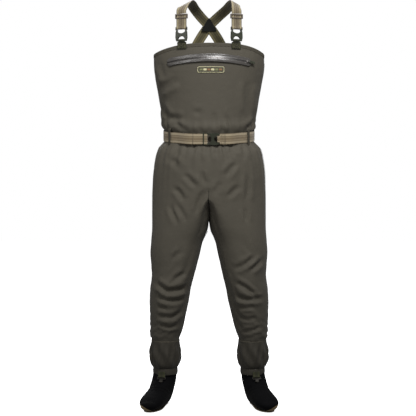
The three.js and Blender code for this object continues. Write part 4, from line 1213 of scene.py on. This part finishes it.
angles = np.linspace(-ZIP_HALF, ZIP_HALF, ZIP_COLS)
flare = 8 * math.tan(ZIP_LEAN)
for tag, section in (
    ("upper", [(0, 2.4), (0.25, 4.5), (0.1, 6.5), (flare * 0.45, 10.2), (flare * 0.9, 14.3)]),
    ("lower", [(-flare * 0.9, -14.3), (-flare * 0.45, -10.2), (0.1, -6.5), (0.25, -4.5), (0, -2.4)]),
):
    verts = []
    for o, z in section:
        for a in angles:
            taper = 1 - 0.55 * max(0, (abs(a) / ZIP_HALF - 0.93) / 0.07) ** 2
            zz = z if abs(z) < 3 else math.copysign(2.4 + (abs(z) - 2.4) * taper, z)
            verts.append(zip_point(a, 0.6 + o + 0.25 * math.sin(37 * a) * (abs(z) > 8), zz))
    us = [ZIP_LENGTH * i / (ZIP_COLS - 1) for i in range(ZIP_COLS)]
    ob = make_object(f"zip_band_{tag}", place(zip_frame, verts), grid_faces(len(section), ZIP_COLS),
                     grid_uvs(len(section), ZIP_COLS, us, [z * MM for _, z in section]))
    modifier(ob, "SUBSURF", levels=1, render_levels=1)
    modifier(ob, "SOLIDIFY", thickness=1.1 * MM, offset=0)
    finish_piece(ob, MAT["tape"], nodes=[f"zip_tape_{tag}"])

verts, faces = [], []
count = 126
for i in range(count):
    a0 = -ZIP_HALF + 2 * ZIP_HALF * (i + 0.1) / count
    a1 = -ZIP_HALF + 2 * ZIP_HALF * (i + 0.88) / count
    z0, z1 = ((-0.6, 2.3) if i % 2 else (-2.3, 0.6))
    faces += box_faces(len(verts))
    for o in (0.3, 2.0):
        verts += [zip_point(a0, o, z0), zip_point(a1, o, z0), zip_point(a1, o, z1), zip_point(a0, o, z1)]
base, steps = len(verts), 64  # the flat core that the teeth sit on
for o, z in ((-0.2, -2.5), (0.6, -2.5), (0.6, 2.5), (-0.2, 2.5)):
    verts += [zip_point(a, o, z) for a in np.linspace(-ZIP_HALF, ZIP_HALF, steps)]
for k in range(4):
    for i in range(steps - 1):
        a, b = base + k * steps + i, base + (k + 1) % 4 * steps + i
        faces.append((a, a + 1, b + 1, b))
first = [base + k * steps for k in range(4)]
faces += [tuple(first), tuple(v + steps - 1 for v in first)[::-1]]
ob = make_object("zip_teeth", place(zip_frame, verts), faces, smooth_shade=False)
finish_piece(ob, MAT["metal"], nodes=["zip_chain"])

# ---- badge: a raised cream rim, a dark ground and plain coloured bars
def chest_point(x, z, out):
    a, b = station(TORSO, z)
    y = -math.sqrt(max(1 - (x / a) ** 2, 0))
    normal = unit([x / a ** 2, y / b, 0])
    return np.array([x, BODY_Y + b * y, z]) + normal * out


def badge_plate(name, x0, x1, z0, z1, r, low, high):
    """A curved slab, as columns across the chest with a rounded outline."""
    cols = 28
    xs = np.linspace(x0, x1, cols)
    verts = []
    for x in xs:
        inset = r - math.sqrt(max(r * r - max(r - (x - x0), r - (x1 - x), 0) ** 2, 0)) if r else 0
        for z, o in ((z0 + inset, low), (z0 + inset, high), (z1 - inset, high), (z1 - inset, low)):
            verts.append(chest_point(x, z, o))
    faces = []
    for i in range(cols - 1):
        for k in range(4):
            a, b = 4 * i + k, 4 * i + (k + 1) % 4
            faces.append((a, b, b + 4, a + 4)[::-1])
    faces += [(0, 1, 2, 3), tuple(4 * (cols - 1) + k for k in range(4))[::-1]]
    ob = make_object(name, verts, faces)
    ob.data.set_sharp_from_angle(angle=math.radians(40))
    return ob


BADGE = (-40.5, 53.5, 1200.5, 1221.5)
x0, x1, z0, z1 = BADGE
rim_width, bar_gap = 1.7, 7.2
plate = badge_plate("badge_rim", x0, x1, z0, z1, 3.5, 0.3, 2.4)
finish_piece(plate, MAT["cream"], nodes=["chest_badge"])
plate = badge_plate("badge_field", x0 + rim_width, x1 - rim_width, z0 + rim_width, z1 - rim_width,
                    2.4, 0.5, 2.7)
finish_piece(plate, MAT["badge"])
for k, colour in enumerate(("teal", "cream", "rust", "cream", "teal", "rust")):  # a plain row of equal bars
    bar = x0 + 7.5 + 13.6 * k
    plate = badge_plate(f"badge_bar_{k}", bar, bar + 11, z0 + bar_gap, z1 - bar_gap, 1.0, 1.5, 3.3)
    finish_piece(plate, MAT[colour])

# ---- CAD hardware: its own shape, with softened edges and finished surfaces
SLOT_LOOK = {
    "buckle_plastic": "plastic", "brown_plastic": "brown", "zip_metal": "metal", "black_patch": "patch",
    "sole_rubber": "sole", "lining": "lining", "shell_fabric": "shell", "guard_fabric": "guard",
    "webbing": "webbing", "olive_webbing": "olive", "neoprene": "neoprene", "zip_tape": "tape",
    "badge_rubber": "badge",
}
for entry in frame["record"]["subparts"]:
    node = frame["nodes"][entry["node"]]
    if node.hide_render:
        continue
    look = {"lace": "steel", "zip_": "slider"}.get(entry["node"][:4], SLOT_LOOK[entry["material_slot"]])
    if entry["node"] == "zip_pull":
        look = "plastic"
    node.data.materials.clear()
    node.data.materials.append(MAT[look])
    modifier(node, "WELD", merge_threshold=0.00002)
    width = 0.00025 if "prong" in entry["node"] or "hook" in entry["node"] else 0.0005
    modifier(node, "BEVEL", width=width, segments=2, limit_method="ANGLE", angle_limit=math.radians(35),
             use_clamp_overlap=True)
